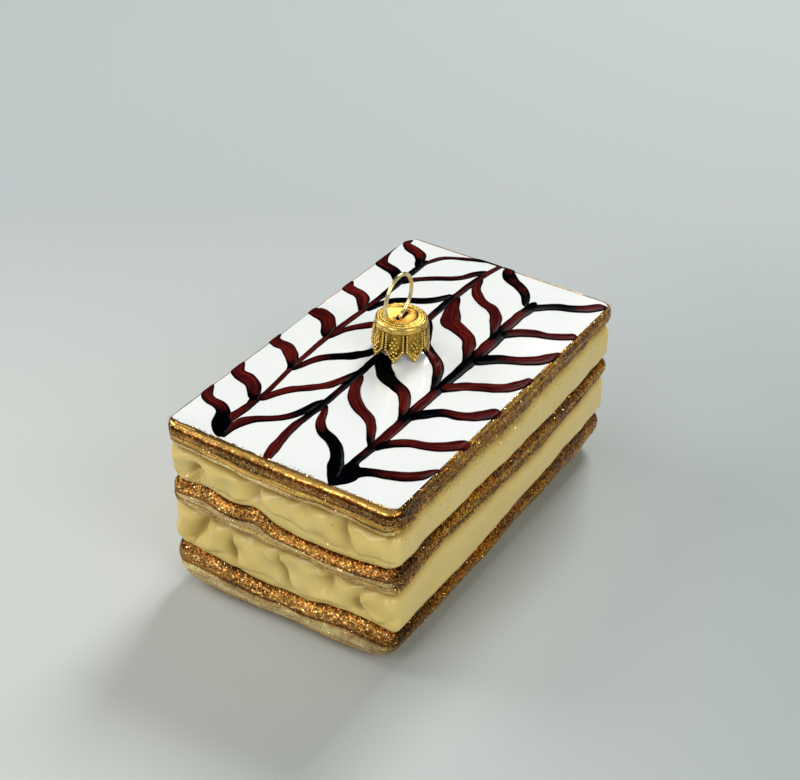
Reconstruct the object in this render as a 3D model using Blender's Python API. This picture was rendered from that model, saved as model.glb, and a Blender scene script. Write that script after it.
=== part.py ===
"""A blown-glass tree ornament in the shape of a slice of mille feuille.

The ornament is one moulded glass form: three bands of pastry with two fillings of
cream between them, painted and glittered on the outside, and a short open neck on
top. A stamped metal cap sits over the neck, and a loop of sprung wire passes through
the cap's slot and spreads inside the neck.

+Z is up, +Y runs along the slice, and the origin is the middle of the base.
Sizes are in millimetres and are turned into metres when a mesh is made.
"""

import math

import bmesh
import bpy
import numpy as np
from mathutils import Matrix, Vector

MM = 0.001                   # metres in a millimetre

# The slice's block
LENGTH = 97.6                # along Y
WIDTH = 56.2                 # along X
HEIGHT = 41.0
CORNER_RADIUS = 3.2          # of the upright edges, in plan
WIDTH_TAPER = 0.016          # share by which the far end is wider and the near end narrower
LENGTH_TAPER = -0.011        # the same for the right-hand side's length
HEIGHT_TAPER_X = -0.024      # share by which the right-hand side is higher
HEIGHT_TAPER_Y = 0.0135      # share by which the far end is higher

# Wavy borders between the layers, as heights above the base at even steps along the
# near end (from left to right) and along the right-hand side (from near to far). The
# other two faces are the same borders turned half round.
END_STATIONS = np.linspace(-24.0, 24.0, 9)
SIDE_STATIONS = np.linspace(-45.0, 45.0, 7)
BORDERS = (
    # top band over upper cream
    ((34.9, 34.7, 34.2, 33.3, 33.0, 33.5, 33.7, 33.5, 33.3), (34.0, 34.5, 34.2, 33.6, 34.5, 35.3, 35.8)),
    # upper cream over middle band
    ((26.4, 27.0, 26.0, 26.9, 24.7, 23.9, 23.8, 24.3, 25.1), (26.0, 26.0, 25.8, 25.4, 25.2, 25.5, 27.0)),
    # middle band over lower cream
    ((20.5, 19.6, 19.2, 19.2, 19.4, 19.5, 18.9, 18.4, 18.8), (18.5, 20.1, 19.4, 18.6, 18.4, 19.7, 21.8)),
    # lower cream over bottom band
    ((9.9, 9.2, 8.7, 7.8, 8.0, 8.0, 9.2, 9.8, 9.4), (8.4, 8.1, 8.1, 9.2, 10.0, 10.8, 11.4)),
)

# How far the surface draws in from the block's outline
GROOVE_SIDE = 1.4            # at the borders along the long sides
GROOVE_END = 2.4             # at the borders on the two ends
GROOVE_POWER = 3.0           # how flat a band stays before it turns into its groove
CREAM_INSET = 0.1            # a cream's fullest part, behind the bands
CREAM_FLOOR = 3.8            # between the mounds on the ends
TOP_EDGE_DROP = 1.4          # round edge of the top, in height
TOP_EDGE_INSET = 0.8         # and in plan
BASE_EDGE_SIDE = (8.5, 7.5)  # round edge of the base along the long sides, in height and in plan
BASE_EDGE_END = (4.0, 4.0)   # and along the two ends
BASE_CORNER = 1.5            # added to all of them towards the base's corners
CORNER_POWER = 5.0           # how near a corner that begins

# Mounds of cream on the ends: place along the end, height, half width, half height
# and turn in degrees, anticlockwise as seen from outside
UPPER_MOUNDS = (
    (-24.3, 30.3, 4.8, 5.6, -15.0),
    (-13.0, 30.2, 7.4, 4.9, 20.0),
    (-0.3, 30.2, 6.4, 4.8, -12.0),
    (10.8, 30.0, 4.6, 5.6, -25.0),
    (21.3, 30.0, 6.0, 5.2, -15.0),
)
LOWER_MOUNDS = (
    (-24.3, 15.4, 4.4, 6.4, -20.0),
    (-17.3, 14.2, 4.4, 6.6, -38.0),
    (-10.2, 13.8, 3.6, 6.6, 0.0),
    (-4.2, 13.4, 4.0, 6.8, 12.0),
    (4.6, 13.8, 5.6, 6.6, 10.0),
    (14.2, 14.8, 5.0, 5.8, -30.0),
    (22.4, 13.4, 4.2, 5.2, 0.0),
)
MOUND_FADE = (25.0, 31.0)    # distance from an end's middle over which its mounds die away

# Mesh counts of the block
END_STEPS = 22               # along each end
SIDE_STEPS = 14              # along each side
CORNER_STEPS = 4             # round each upright edge
LAYER_STEPS = (6, 8, 6, 8, 7)  # down each layer, from the top

# The neck and what it carries stand square to the top face, near its middle
CAP_X = -2.0
CAP_Y = 1.1
NECK_RADIUS = 4.75
NECK_HEIGHT = 7.6
NECK_BURIED = 2.0            # how far the neck reaches into the block, to join it
BORE_RADIUS = 3.5
BORE_DEPTH = 13.0            # from the neck's rim
NECK_SIDES = 32

CAP_WALL = 0.45
CAP_GAP = 0.4                # under the petals' tips
CAP_SEGMENTS = 40
PETALS = 8
PETAL_TURN = math.radians(18.0)
PETAL_POINT = 3.0            # height of a petal's pointed tip
PETAL_POINT_POWER = 1.15
SLOT_LENGTH = 6.4
SLOT_WIDTH = 1.7
# Outside of the cap from the petals' tips up to the middle of its dish: radius, height
CAP_PROFILE = ((6.3, 0.0), (6.2, 2.6), (5.95, 5.0), (5.7, 6.9), (5.72, 7.6), (5.45, 8.3),
               (4.8, 8.8), (3.9, 8.9), (3.0, 8.6), (2.3, 8.3), (1.0, 8.2))
DISH_Z = CAP_PROFILE[-1][1] + CAP_GAP  # height of the dish above the top face

WIRE_RADIUS = 0.425
LOOP_OFFSET = -1.5           # along Y, from the cap's middle
LOOP_RADIUS = 5.15           # of the round eye, to the wire's middle
LOOP_RISE = 5.75             # from the dish to the eye's middle
LEG_HALF_SPACING = 1.0       # in the slot
FOOT_HALF_SPACING = 1.3      # at the legs' ends, inside the neck
FOOT_DEPTH = 7.0             # below the dish
BEND_RADIUS = 0.9            # where a leg turns into the eye
LOOP_SPACING = 0.9           # between the wire's points, at most

CREAM = (0.62, 0.53, 0.27, 1.0)
PASTRY_GOLD = (0.36, 0.22, 0.09, 1.0)
ENAMEL_WHITE = (0.85, 0.86, 0.87, 1.0)
CAP_GOLD = (0.70, 0.45, 0.12, 1.0)
WIRE_GOLD = (0.72, 0.62, 0.32, 1.0)


def clear_scene():
    """Remove every object the file opened with."""
    for thing in list(bpy.data.objects):
        bpy.data.objects.remove(thing, do_unlink=True)


def finish(name, colour, roughness, metallic):
    """Return a material with one colour, roughness and metallic value."""
    material = bpy.data.materials.new(name)
    material.use_nodes = True
    shader = material.node_tree.nodes["Principled BSDF"]
    shader.inputs["Base Color"].default_value = colour
    shader.inputs["Roughness"].default_value = roughness
    shader.inputs["Metallic"].default_value = metallic
    material.diffuse_color = colour
    return material


def add_object(name, bm, materials):
    """Make a named object from a bmesh in millimetres, shaded smooth with its hard edges kept."""
    bmesh.ops.scale(bm, vec=(MM, MM, MM), verts=bm.verts)
    mesh = bpy.data.meshes.new(name)
    bm.to_mesh(mesh)
    bm.free()
    for material in materials:
        mesh.materials.append(material)
    mesh.shade_smooth()
    mesh.set_sharp_from_angle(angle=math.radians(40.0))
    thing = bpy.data.objects.new(name, mesh)
    bpy.context.scene.collection.objects.link(thing)
    return thing


def smooth_line(at, stations, heights):
    """Read a smooth curve through evenly spaced stations, level beyond both ends."""
    stations = np.asarray(stations)
    padded = np.concatenate(([heights[0]], heights, [heights[-1]]))
    step = stations[1] - stations[0]
    place = np.clip((at - stations[0]) / step, 0.0, len(stations) - 1.0)
    first = np.minimum(place.astype(int), len(stations) - 2)
    t = place - first
    before, start, end, after = (padded[first + k] for k in range(4))
    return start + 0.5 * t * (end - before + t * (
        2.0 * before - 5.0 * start + 4.0 * end - after + t * (3.0 * (start - end) + after - before)))


def fade(value, low, high):
    """Go smoothly from one at the low value to nothing at the high value."""
    t = np.clip((value - low) / (high - low), 0.0, 1.0)
    return 1.0 - t * t * (3.0 - 2.0 * t)


def outline():
    """Walk round the block's plan, anticlockwise from the left of the near end.

    Returns the stations' positions and outward normals, and how far along the walk each
    lies from the middle of its end; on the long sides that distance is only large.
    """
    half_x = 0.5 * WIDTH - CORNER_RADIUS
    half_y = 0.5 * LENGTH - CORNER_RADIUS
    arc = 0.5 * math.pi * CORNER_RADIUS
    runs = []
    for turn, (half, steps) in enumerate(((half_x, END_STEPS), (half_y, SIDE_STEPS)) * 2):
        across = half_y if turn % 2 == 0 else half_x
        # one straight face, as if it were the near end, and the corner that follows it
        along = -half + 2.0 * half * np.arange(steps) / steps
        bend = 0.5 * math.pi * np.arange(CORNER_STEPS) / CORNER_STEPS
        x = np.concatenate((along, half + CORNER_RADIUS * np.sin(bend)))
        y = np.concatenate((np.full(steps, -across - CORNER_RADIUS), -across - CORNER_RADIUS * np.cos(bend)))
        tilt = np.concatenate((np.zeros(steps), bend))
        if turn % 2 == 0:
            walk = np.concatenate((along, half + CORNER_RADIUS * bend))
        else:
            walk = np.concatenate((np.full(steps, WIDTH), -half_x - arc + CORNER_RADIUS * bend))
        angle = 0.5 * math.pi * turn
        c, s = math.cos(angle), math.sin(angle)
        runs.append((c * x - s * y, s * x + c * y, np.sin(angle + tilt), -np.cos(angle + tilt), walk))
    x, y, normal_x, normal_y, walk = (np.concatenate(parts) for parts in zip(*runs))
    return x, y, normal_x, normal_y, walk


def border_height(border, x, y, normal_x, normal_y):
    """Height of a border round the block: the end's line and the side's, mixed round the corners."""
    end_line, side_line = border
    end = smooth_line(-x * np.sign(normal_y), END_STATIONS, end_line)
    side = smooth_line(y * np.sign(normal_x), SIDE_STATIONS, side_line)
    return normal_y ** 2 * end + normal_x ** 2 * side


def mound_relief(walk, z, mounds):
    """Height of the cream's mounds over their floor, from nothing to one: the tallest of the domes."""
    relief = np.zeros_like(z)
    for place, height, half_width, half_height, turn in mounds:
        c, s = math.cos(math.radians(turn)), math.sin(math.radians(turn))
        u = (c * (walk - place) + s * (z - height)) / half_width
        v = (c * (z - height) - s * (walk - place)) / half_height
        relief = np.maximum(relief, np.sqrt(np.clip(1.0 - u * u - v * v, 0.0, None)))
    return relief


def taper(x, y, z):
    """Lean the straight block into the slightly uneven one that was blown."""
    share_x = x / (0.5 * WIDTH)
    share_y = y / (0.5 * LENGTH)
    return (x * (1.0 + WIDTH_TAPER * share_y), y * (1.0 + LENGTH_TAPER * share_x),
            z * (1.0 + HEIGHT_TAPER_X * share_x + HEIGHT_TAPER_Y * share_y))


def block_rings():
    """Rings of points from the top face's edge down to the base's, with each ring's layer."""
    x, y, normal_x, normal_y, walk = outline()
    levels = [np.full_like(x, HEIGHT)]
    levels += [border_height(border, x, y, normal_x, normal_y) for border in BORDERS]
    levels.append(np.zeros_like(x))
    on_end = fade(np.abs(walk), *MOUND_FADE)
    groove = GROOVE_SIDE + (GROOVE_END - GROOVE_SIDE) * on_end
    corner = (2.0 * np.abs(x) / WIDTH) ** CORNER_POWER * (2.0 * np.abs(y) / LENGTH) ** CORNER_POWER
    rings = []
    for layer, steps in enumerate(LAYER_STEPS):
        top, bottom = levels[layer], levels[layer + 1]
        for step in range(steps + (layer == len(LAYER_STEPS) - 1)):
            t = 0.5 - 0.5 * math.cos(math.pi * step / steps)
            z = top + (bottom - top) * t
            edge = abs(2.0 * t - 1.0)
            inset = groove * edge ** GROOVE_POWER
            if layer == 0 and t < 0.5:
                rise = np.clip((z - HEIGHT + TOP_EDGE_DROP) / TOP_EDGE_DROP, 0.0, 1.0)
                inset = TOP_EDGE_INSET * (1.0 - np.sqrt(1.0 - rise * rise))
            # the base's round edge draws the whole plan in, so that its corners stay round
            shrink = []
            for half, (rise, reach) in ((0.5 * WIDTH, BASE_EDGE_SIDE), (0.5 * LENGTH, BASE_EDGE_END)):
                edge_top = np.minimum(rise + BASE_CORNER * corner, 0.85 * levels[4])
                drop = np.clip(1.0 - z / edge_top, 0.0, 1.0)
                drawn_in = (reach + BASE_CORNER * corner) * (1.0 - np.sqrt(1.0 - drop * drop))
                shrink.append(1.0 - drawn_in / half)
            if layer == 4 and t > 0.5:
                inset = 0.0
            if layer in (1, 3):
                mounds = UPPER_MOUNDS if layer == 1 else LOWER_MOUNDS
                mounded = CREAM_INSET + (CREAM_FLOOR - CREAM_INSET) * (1.0 - mound_relief(walk, z, mounds))
                full = on_end * mounded + (1.0 - on_end) * CREAM_INSET
                inset = full + (groove - full) * edge ** (2.0 * GROOVE_POWER)
            ring_x = shrink[0] * (x - inset * normal_x)
            ring_y = shrink[1] * (y - inset * normal_y)
            rings.append((np.stack(taper(ring_x, ring_y, z), axis=1), layer))
    return rings


def top_frame():
    """Place and direction of the spot on the top face where the neck, cap and loop stand."""
    slope_x = HEIGHT * HEIGHT_TAPER_X / (0.5 * WIDTH)
    slope_y = HEIGHT * HEIGHT_TAPER_Y / (0.5 * LENGTH)
    upright = Vector((-slope_x, -slope_y, 1.0)).normalized()
    across = Vector((0.0, 1.0, 0.0)).cross(upright).normalized()
    along = upright.cross(across)
    turn = Matrix((across, along, upright)).transposed().to_4x4()
    return Matrix.Translation((CAP_X, CAP_Y, HEIGHT + slope_x * CAP_X + slope_y * CAP_Y)) @ turn


def add_tube_cutter(name, radius, bottom, top):
    """Add a plain cylinder between two heights over the top face, as a boolean's other object."""
    bm = bmesh.new()
    place = top_frame() @ Matrix.Translation((0.0, 0.0, 0.5 * (bottom + top)))
    bmesh.ops.create_cone(bm, cap_ends=True, segments=NECK_SIDES, radius1=radius, radius2=radius,
                          depth=top - bottom, matrix=place)
    tool = add_object(name, bm, ())
    tool.hide_render = True
    tool.display_type = "WIRE"
    return tool


def add_boolean(thing, tool, operation):
    """Join or cut one object with another by an exact boolean."""
    modifier = thing.modifiers.new(f"{operation.lower()}_{tool.name}", "BOOLEAN")
    modifier.operation = operation
    modifier.solver = "EXACT"
    modifier.object = tool


def build_body():
    """Make the moulded block by walking down its rings, then add the neck and its bore."""
    bm = bmesh.new()
    rings = block_rings()
    loops = [[bm.verts.new(point) for point in points] for points, _ in rings]
    bm.faces.new(loops[0]).material_index = 2
    for (upper, lower), (_, layer) in zip(zip(loops, loops[1:]), rings):
        for k, vertex in enumerate(upper):
            after = (k + 1) % len(upper)
            face = bm.faces.new((vertex, lower[k], lower[after], upper[after]))
            face.material_index = layer % 2
    bm.faces.new(loops[-1][::-1])
    body = add_object("glass_body", bm, (
        finish("pastry gold", PASTRY_GOLD, 0.35, 0.6),
        finish("cream paint", CREAM, 0.4, 0.0),
        finish("white enamel", ENAMEL_WHITE, 0.15, 0.0),
    ))
    add_boolean(body, add_tube_cutter("neck_tool", NECK_RADIUS, -NECK_BURIED, NECK_HEIGHT), "UNION")
    add_boolean(body, add_tube_cutter("bore_tool", BORE_RADIUS, NECK_HEIGHT - BORE_DEPTH, NECK_HEIGHT + 1.0),
                "DIFFERENCE")
    return body


def build_cap():
    """Turn the cap's outside and, a wall's thickness in, its inside, with petals cut along the rim."""
    bm = bmesh.new()
    outside = np.array(CAP_PROFILE)
    outside[:, 1] += CAP_GAP
    # the inside follows the outside, a wall's thickness along its own inward normals
    run = np.gradient(outside, axis=0)
    run /= np.linalg.norm(run, axis=1, keepdims=True)
    inside = outside + CAP_WALL * np.stack((-run[:, 1], run[:, 0]), axis=1)
    inside[0, 1] = outside[0, 1]
    angle = 2.0 * math.pi * np.arange(CAP_SEGMENTS) / CAP_SEGMENTS
    # nothing at a petal's middle, one at the slit between two petals
    share = np.abs((PETALS * angle / (2.0 * math.pi) + 0.5) % 1.0 - 0.5) * 2.0
    angle = angle + PETAL_TURN
    lift = PETAL_POINT * share ** PETAL_POINT_POWER
    loops = []
    for radius, height in np.concatenate((outside, inside[::-1])):
        low = outside[0, 1]
        # the rings near the rim crowd upward above the slits, and those over the points stay level
        raised = height + lift * max(0.0, 1.0 - (height - low) / (2.2 * PETAL_POINT))
        loops.append([bm.verts.new((radius * math.cos(a), radius * math.sin(a), z))
                      for a, z in zip(angle, raised)])
    middle = len(outside)
    for k, (lower, upper) in enumerate(zip(loops, loops[1:] + loops[:1])):
        if k in (middle - 1,):
            continue
        for j, vertex in enumerate(lower):
            after = (j + 1) % CAP_SEGMENTS
            bm.faces.new((vertex, lower[after], upper[after], upper[j]))
    bm.faces.new(loops[middle - 1])
    bm.faces.new(loops[middle][::-1])
    bmesh.ops.transform(bm, matrix=top_frame(), verts=bm.verts)
    cap = add_object("cap", bm, (finish("cap gold", CAP_GOLD, 0.3, 1.0),))

    slot = bmesh.new()
    place = top_frame() @ Matrix.Translation((0.0, 0.0, DISH_Z)) @ Matrix.Diagonal(
        (SLOT_WIDTH, SLOT_LENGTH, 4.0, 1.0))
    bmesh.ops.create_cube(slot, size=1.0, matrix=place)
    tool = add_object("slot_tool", slot, ())
    tool.hide_render = True
    tool.display_type = "WIRE"
    add_boolean(cap, tool, "DIFFERENCE")
    return cap


def half_loop():
    """Half of the wire's line, from a leg's end to the eye's top: offsets, and heights over the dish."""
    # the bend is tangent to the upright leg and to the round eye, which meets it off its lowest point
    side = LEG_HALF_SPACING + BEND_RADIUS
    meeting = math.asin(side / (LOOP_RADIUS + BEND_RADIUS))
    bend_z = LOOP_RISE - (LOOP_RADIUS + BEND_RADIUS) * math.cos(meeting)
    fall = np.linspace(1.0, 0.0, 60, endpoint=False)
    leg_z = bend_z - (FOOT_DEPTH + bend_z) * fall
    leg = LEG_HALF_SPACING + (FOOT_HALF_SPACING - LEG_HALF_SPACING) * np.sin(0.5 * np.pi * fall) ** 2
    bend = np.linspace(math.pi, 0.5 * math.pi + meeting, 20, endpoint=False)
    eye = np.linspace(meeting, math.pi, 160)
    offsets = (leg, side + BEND_RADIUS * np.cos(bend), LOOP_RADIUS * np.sin(eye))
    heights = (leg_z, bend_z + BEND_RADIUS * np.sin(bend), LOOP_RISE - LOOP_RADIUS * np.cos(eye))
    return np.concatenate(offsets), np.concatenate(heights)


def build_loop():
    """Bend the wire from one leg's end, round the eye and down to the other leg's end."""
    y, z = half_loop()
    y, z = LOOP_OFFSET + np.concatenate((y, -y[-2::-1])), np.concatenate((z, z[-2::-1]))
    route = np.stack((y, z), axis=1)
    reach = np.concatenate(([0.0], np.cumsum(np.linalg.norm(np.diff(route, axis=0), axis=1))))
    count = int(math.ceil(reach[-1] / LOOP_SPACING)) + 1
    even = np.linspace(0.0, reach[-1], count)
    place = top_frame()
    curve = bpy.data.curves.new("hanger_loop", "CURVE")
    curve.dimensions = "3D"
    curve.bevel_depth = WIRE_RADIUS * MM
    curve.bevel_resolution = 2
    curve.use_fill_caps = True
    spline = curve.splines.new("POLY")
    spline.points.add(count - 1)
    across, above = (np.interp(even, reach, route[:, k]) for k in (0, 1))
    for point, y, z in zip(spline.points, across, above):
        spot = place @ Vector((0.0, float(y), DISH_Z + float(z))) * MM
        point.co = (*spot, 1.0)
    curve.materials.append(finish("wire gold", WIRE_GOLD, 0.2, 1.0))
    wire = bpy.data.objects.new("hanger_loop", curve)
    bpy.context.scene.collection.objects.link(wire)
    return wire


def main():
    """Build the ornament's three pieces."""
    clear_scene()
    build_body()
    build_cap()
    build_loop()


main()
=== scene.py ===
"""Looks of a blown-glass ornament shaped as a slice of mille feuille.

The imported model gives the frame: a glass body, a stamped metal cap and a wire loop. The glass is
one closed skin here, painted with white icing, satin cream and lacquered pastry; the feathered
lines lie on the icing as raised paint, and glitter is scattered on the pastry as real flakes.

Sizes are in millimetres unless a name says otherwise, and become metres when a mesh is made.
+Z is up, +Y runs along the slice, and the near end, at low Y, is the one seen first.
"""

import logging
import math
from dataclasses import dataclass, field
from enum import Enum

import bpy
import numpy as np
from mathutils import Matrix, Vector

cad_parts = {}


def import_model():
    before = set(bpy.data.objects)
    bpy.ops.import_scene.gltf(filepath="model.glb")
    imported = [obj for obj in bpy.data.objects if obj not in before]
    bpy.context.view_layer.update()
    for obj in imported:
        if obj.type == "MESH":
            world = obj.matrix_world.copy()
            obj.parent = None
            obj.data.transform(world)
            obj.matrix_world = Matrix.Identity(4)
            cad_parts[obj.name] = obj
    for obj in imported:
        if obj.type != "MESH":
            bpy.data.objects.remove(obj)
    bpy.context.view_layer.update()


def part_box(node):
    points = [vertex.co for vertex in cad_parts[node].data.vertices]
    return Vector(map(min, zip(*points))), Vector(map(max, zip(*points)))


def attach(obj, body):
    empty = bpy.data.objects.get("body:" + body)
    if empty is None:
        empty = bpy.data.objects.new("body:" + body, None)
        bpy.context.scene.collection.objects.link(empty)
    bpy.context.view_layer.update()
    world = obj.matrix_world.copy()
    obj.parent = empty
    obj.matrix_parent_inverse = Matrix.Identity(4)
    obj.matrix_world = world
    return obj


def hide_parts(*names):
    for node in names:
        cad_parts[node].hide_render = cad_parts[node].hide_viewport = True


MM = 0.001                   # metres in a millimetre
TAU = 2.0 * math.pi
BODY = "root"
LOG = logging.getLogger("ornament")

Colour = tuple[float, float, float, float]
Array = np.ndarray


class Layer(Enum):
    """The slice's layers, from the top down."""

    TOP_BAND = 0
    UPPER_CREAM = 1
    MIDDLE_BAND = 2
    LOWER_CREAM = 3
    BOTTOM_BAND = 4


class Paint(Enum):
    """The finishes on the glass skin, in the order of its material slots."""

    ENAMEL = 0
    TOP_BAND = 1
    CREAM = 2
    MIDDLE_BAND = 3
    BOTTOM_BAND = 4


# --------------------------------------------------------------------------------------------
# Small mathematics
# --------------------------------------------------------------------------------------------

def fade(value: Array, low: float, high: float) -> Array:
    """Go smoothly from one to nothing.

    Args:
        value: where to read the fade.
        low: the value up to which it is one.
        high: the value from which it is nothing.

    Returns:
        1 - t * t * (3 - 2 t), with t the clamped share of the way from low to high.
    """
    t = np.clip((value - low) / (high - low), 0.0, 1.0)
    return 1.0 - t * t * (3.0 - 2.0 * t)


def smooth_line(at: Array, stations: Array, heights: tuple[float, ...]) -> Array:
    """Read a smooth curve through evenly spaced stations, level beyond both ends.

    Args:
        at: where to read the curve.
        stations: the evenly spaced places of the heights.
        heights: the curve's values there.

    Returns:
        The Catmull-Rom cubic through the four nearest heights.
    """
    padded = np.concatenate(([heights[0]], heights, [heights[-1]]))
    step = stations[1] - stations[0]
    place = np.clip((at - stations[0]) / step, 0.0, len(stations) - 1.0)
    first = np.minimum(place.astype(int), len(stations) - 2)
    t = place - first
    before, start, end, after = (padded[first + k] for k in range(4))
    return start + 0.5 * t * (end - before + t * (
        2.0 * before - 5.0 * start + 4.0 * end - after + t * (3.0 * (start - end) + after - before)))


def smooth_path(stations: Array, spacing: float) -> Array:
    """Run a smooth curve of any dimension through stations.

    Args:
        stations: one row per station; the first two columns are its place.
        spacing: the wanted distance between the curve's points.

    Returns:
        Rows along a Catmull-Rom curve through the stations, about the spacing apart.
    """
    padded = np.vstack((2.0 * stations[0] - stations[1], stations, 2.0 * stations[-1] - stations[-2]))
    rows = []
    for k in range(len(stations) - 1):
        before, start, end, after = padded[k:k + 4]
        count = max(2, int(math.ceil(np.linalg.norm((end - start)[:2]) / spacing)))
        t = (np.arange(count) / count)[:, None]
        rows.append(start + 0.5 * t * (end - before + t * (
            2.0 * before - 5.0 * start + 4.0 * end - after + t * (3.0 * (start - end) + after - before))))
    rows.append(stations[-1:])
    return np.vstack(rows)


def ripple(points: Array, wavelength: float, seed: int, waves: int = 10) -> Array:
    """Smooth seeded noise made of plane waves.

    Args:
        points: places, one row each, of any dimension.
        wavelength: the typical distance between two crests.
        seed: picks the waves' directions and phases.
        waves: how many waves are added.

    Returns:
        The sum of sines of 2 pi (place . direction) / wavelength + phase, scaled to a spread of one.
    """
    draw = np.random.default_rng(seed)
    direction = draw.normal(size=(waves, points.shape[-1]))
    direction /= np.linalg.norm(direction, axis=1, keepdims=True)
    direction *= draw.uniform(0.7, 1.4, (waves, 1))
    phase = draw.uniform(0.0, TAU, waves)
    return np.sin(points @ direction.T * (TAU / wavelength) + phase).sum(axis=-1) / math.sqrt(0.5 * waves)


# --------------------------------------------------------------------------------------------
# Meshes
# --------------------------------------------------------------------------------------------

def grid_faces(rows: int, columns: int, wrap: bool) -> Array:
    """Number the quads of a grid of points.

    Args:
        rows: how many rows of points it has.
        columns: how many points a row has.
        wrap: whether the last column joins the first.

    Returns:
        One row of four point numbers per quad, row by row, facing the side from which the
        columns run anticlockwise when the rows run down.
    """
    down, along = np.meshgrid(np.arange(rows - 1), np.arange(columns if wrap else columns - 1), indexing="ij")
    after = (along + 1) % columns
    corners = (down * columns + along, (down + 1) * columns + along, (down + 1) * columns + after,
               down * columns + after)
    return np.stack(corners, axis=-1).reshape(-1, 4)


@dataclass
class Sheet:
    """Points and faces that become one mesh object.

    Attributes:
        points: places in millimetres, one row each.
        quads: point numbers of the four-sided faces.
        triangles: point numbers of the three-sided faces.
        slots: material slot of each quad and then of each triangle; all nothing if left out.
        values: named numbers, one per point.
        colours: named colours, one row of four per point.
    """

    points: Array
    quads: Array = field(default_factory=lambda: np.zeros((0, 4), int))
    triangles: Array = field(default_factory=lambda: np.zeros((0, 3), int))
    slots: Array | None = None
    values: dict[str, Array] = field(default_factory=dict)
    colours: dict[str, Array] = field(default_factory=dict)

    def make(self, name: str, materials: list[bpy.types.Material], smooth: bool = True) -> bpy.types.Object:
        """Put the sheet into the scene as an object at the origin.

        Args:
            name: the object's name.
            materials: its material slots.
            smooth: whether its faces are shaded smooth.

        Returns:
            The new object.
        """
        mesh = bpy.data.meshes.new(name)
        mesh.vertices.add(len(self.points))
        mesh.vertices.foreach_set("co", (self.points * MM).astype(np.float32).ravel())
        corners = np.concatenate((self.quads.ravel(), self.triangles.ravel())).astype(np.int32)
        sizes = np.concatenate((np.full(len(self.quads), 4), np.full(len(self.triangles), 3)))
        starts = np.concatenate(([0], np.cumsum(sizes)[:-1])).astype(np.int32)
        mesh.loops.add(len(corners))
        mesh.loops.foreach_set("vertex_index", corners)
        mesh.polygons.add(len(sizes))
        mesh.polygons.foreach_set("loop_start", starts)
        mesh.polygons.foreach_set("use_smooth", np.full(len(sizes), smooth))
        for material in materials:
            mesh.materials.append(material)
        if self.slots is not None:
            mesh.polygons.foreach_set("material_index", self.slots.astype(np.int32))
        mesh.update(calc_edges=True)
        mesh.validate()
        for key, value in self.values.items():
            mesh.attributes.new(key, "FLOAT", "POINT").data.foreach_set("value", value.astype(np.float32))
        for key, colour in self.colours.items():
            data = mesh.attributes.new(key, "FLOAT_COLOR", "POINT").data
            data.foreach_set("color", colour.astype(np.float32).ravel())
        thing = bpy.data.objects.new(name, mesh)
        bpy.context.scene.collection.objects.link(thing)
        return thing


def joined(sheets: list[Sheet]) -> Sheet:
    """Join sheets of the same kind into one.

    Args:
        sheets: the sheets, with the same named values and colours.

    Returns:
        One sheet with all their points and faces.
    """
    offsets = np.concatenate(([0], np.cumsum([len(sheet.points) for sheet in sheets])[:-1]))
    first = sheets[0]
    return Sheet(
        np.vstack([sheet.points for sheet in sheets]),
        np.vstack([sheet.quads + offset for sheet, offset in zip(sheets, offsets)]),
        np.vstack([sheet.triangles + offset for sheet, offset in zip(sheets, offsets)]),
        None,
        {key: np.concatenate([sheet.values[key] for sheet in sheets]) for key in first.values},
        {key: np.vstack([sheet.colours[key] for sheet in sheets]) for key in first.colours},
    )


def tube(path: Array, radius: Array, sides: int) -> Sheet:
    """Carry a circle along a path that lies in one upright plane.

    Args:
        path: the middle line's places, one row each.
        radius: the circle's radius at each place.
        sides: how many points the circle has.

    Returns:
        The closed tube: path + radius (cos a * across + sin a * up), with flat fans at both ends.
    """
    along = np.gradient(path, axis=0)
    along /= np.linalg.norm(along, axis=1, keepdims=True)
    across = np.cross(along[0], path[len(path) // 2] - path[0])
    across /= np.linalg.norm(across)
    up = np.cross(np.broadcast_to(across, along.shape), along)
    angle = TAU * np.arange(sides) / sides
    rings = path[:, None] + radius[:, None, None] * (
        np.cos(angle)[None, :, None] * across + np.sin(angle)[None, :, None] * up[:, None])
    points = np.vstack((rings.reshape(-1, 3), path[:1], path[-1:]))
    count = len(path)
    ring = np.arange(sides)
    after = (ring + 1) % sides
    first, last = count * sides, count * sides + 1
    bottom = (count - 1) * sides
    fans = np.vstack((
        np.stack((np.full(sides, first), ring, after), axis=1),
        np.stack((np.full(sides, last), bottom + after, bottom + ring), axis=1)))
    return Sheet(points, grid_faces(count, sides, True), fans)


# --------------------------------------------------------------------------------------------
# The slice's form
# --------------------------------------------------------------------------------------------

@dataclass(frozen=True)
class Fold:
    """A fold where two lumps of cream meet, seen on an end.

    Attributes:
        stations: distance along the end, height and depth, from the top down.
        left: how far its gentle left flank reaches.
        right: how far its steep right flank reaches.
    """

    stations: tuple[tuple[float, float, float], ...]
    left: float
    right: float

    def dent(self, walk: Array, z: Array) -> Array:
        """Depth of the fold at places on an end.

        Args:
            walk: distance along the end from its middle.
            z: height.

        Returns:
            The nearest station's depth * exp(-(distance / reach)^1.6), with each flank's own reach.
        """
        line = smooth_path(np.array(self.stations), 0.35)
        along, up = walk[:, None] - line[:, 0], z[:, None] - line[:, 1]
        square = along ** 2 + up ** 2
        nearest = np.argmin(square, axis=1)
        row = np.arange(len(nearest))
        ahead = np.gradient(line[:, :2], axis=0)[nearest]
        side = ahead[:, 0] * up[row, nearest] - ahead[:, 1] * along[row, nearest]
        reach = np.where(side > 0.0, self.right, self.left)
        return line[nearest, 2] * np.exp(-(np.sqrt(square[row, nearest]) / reach) ** 1.6)


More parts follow.
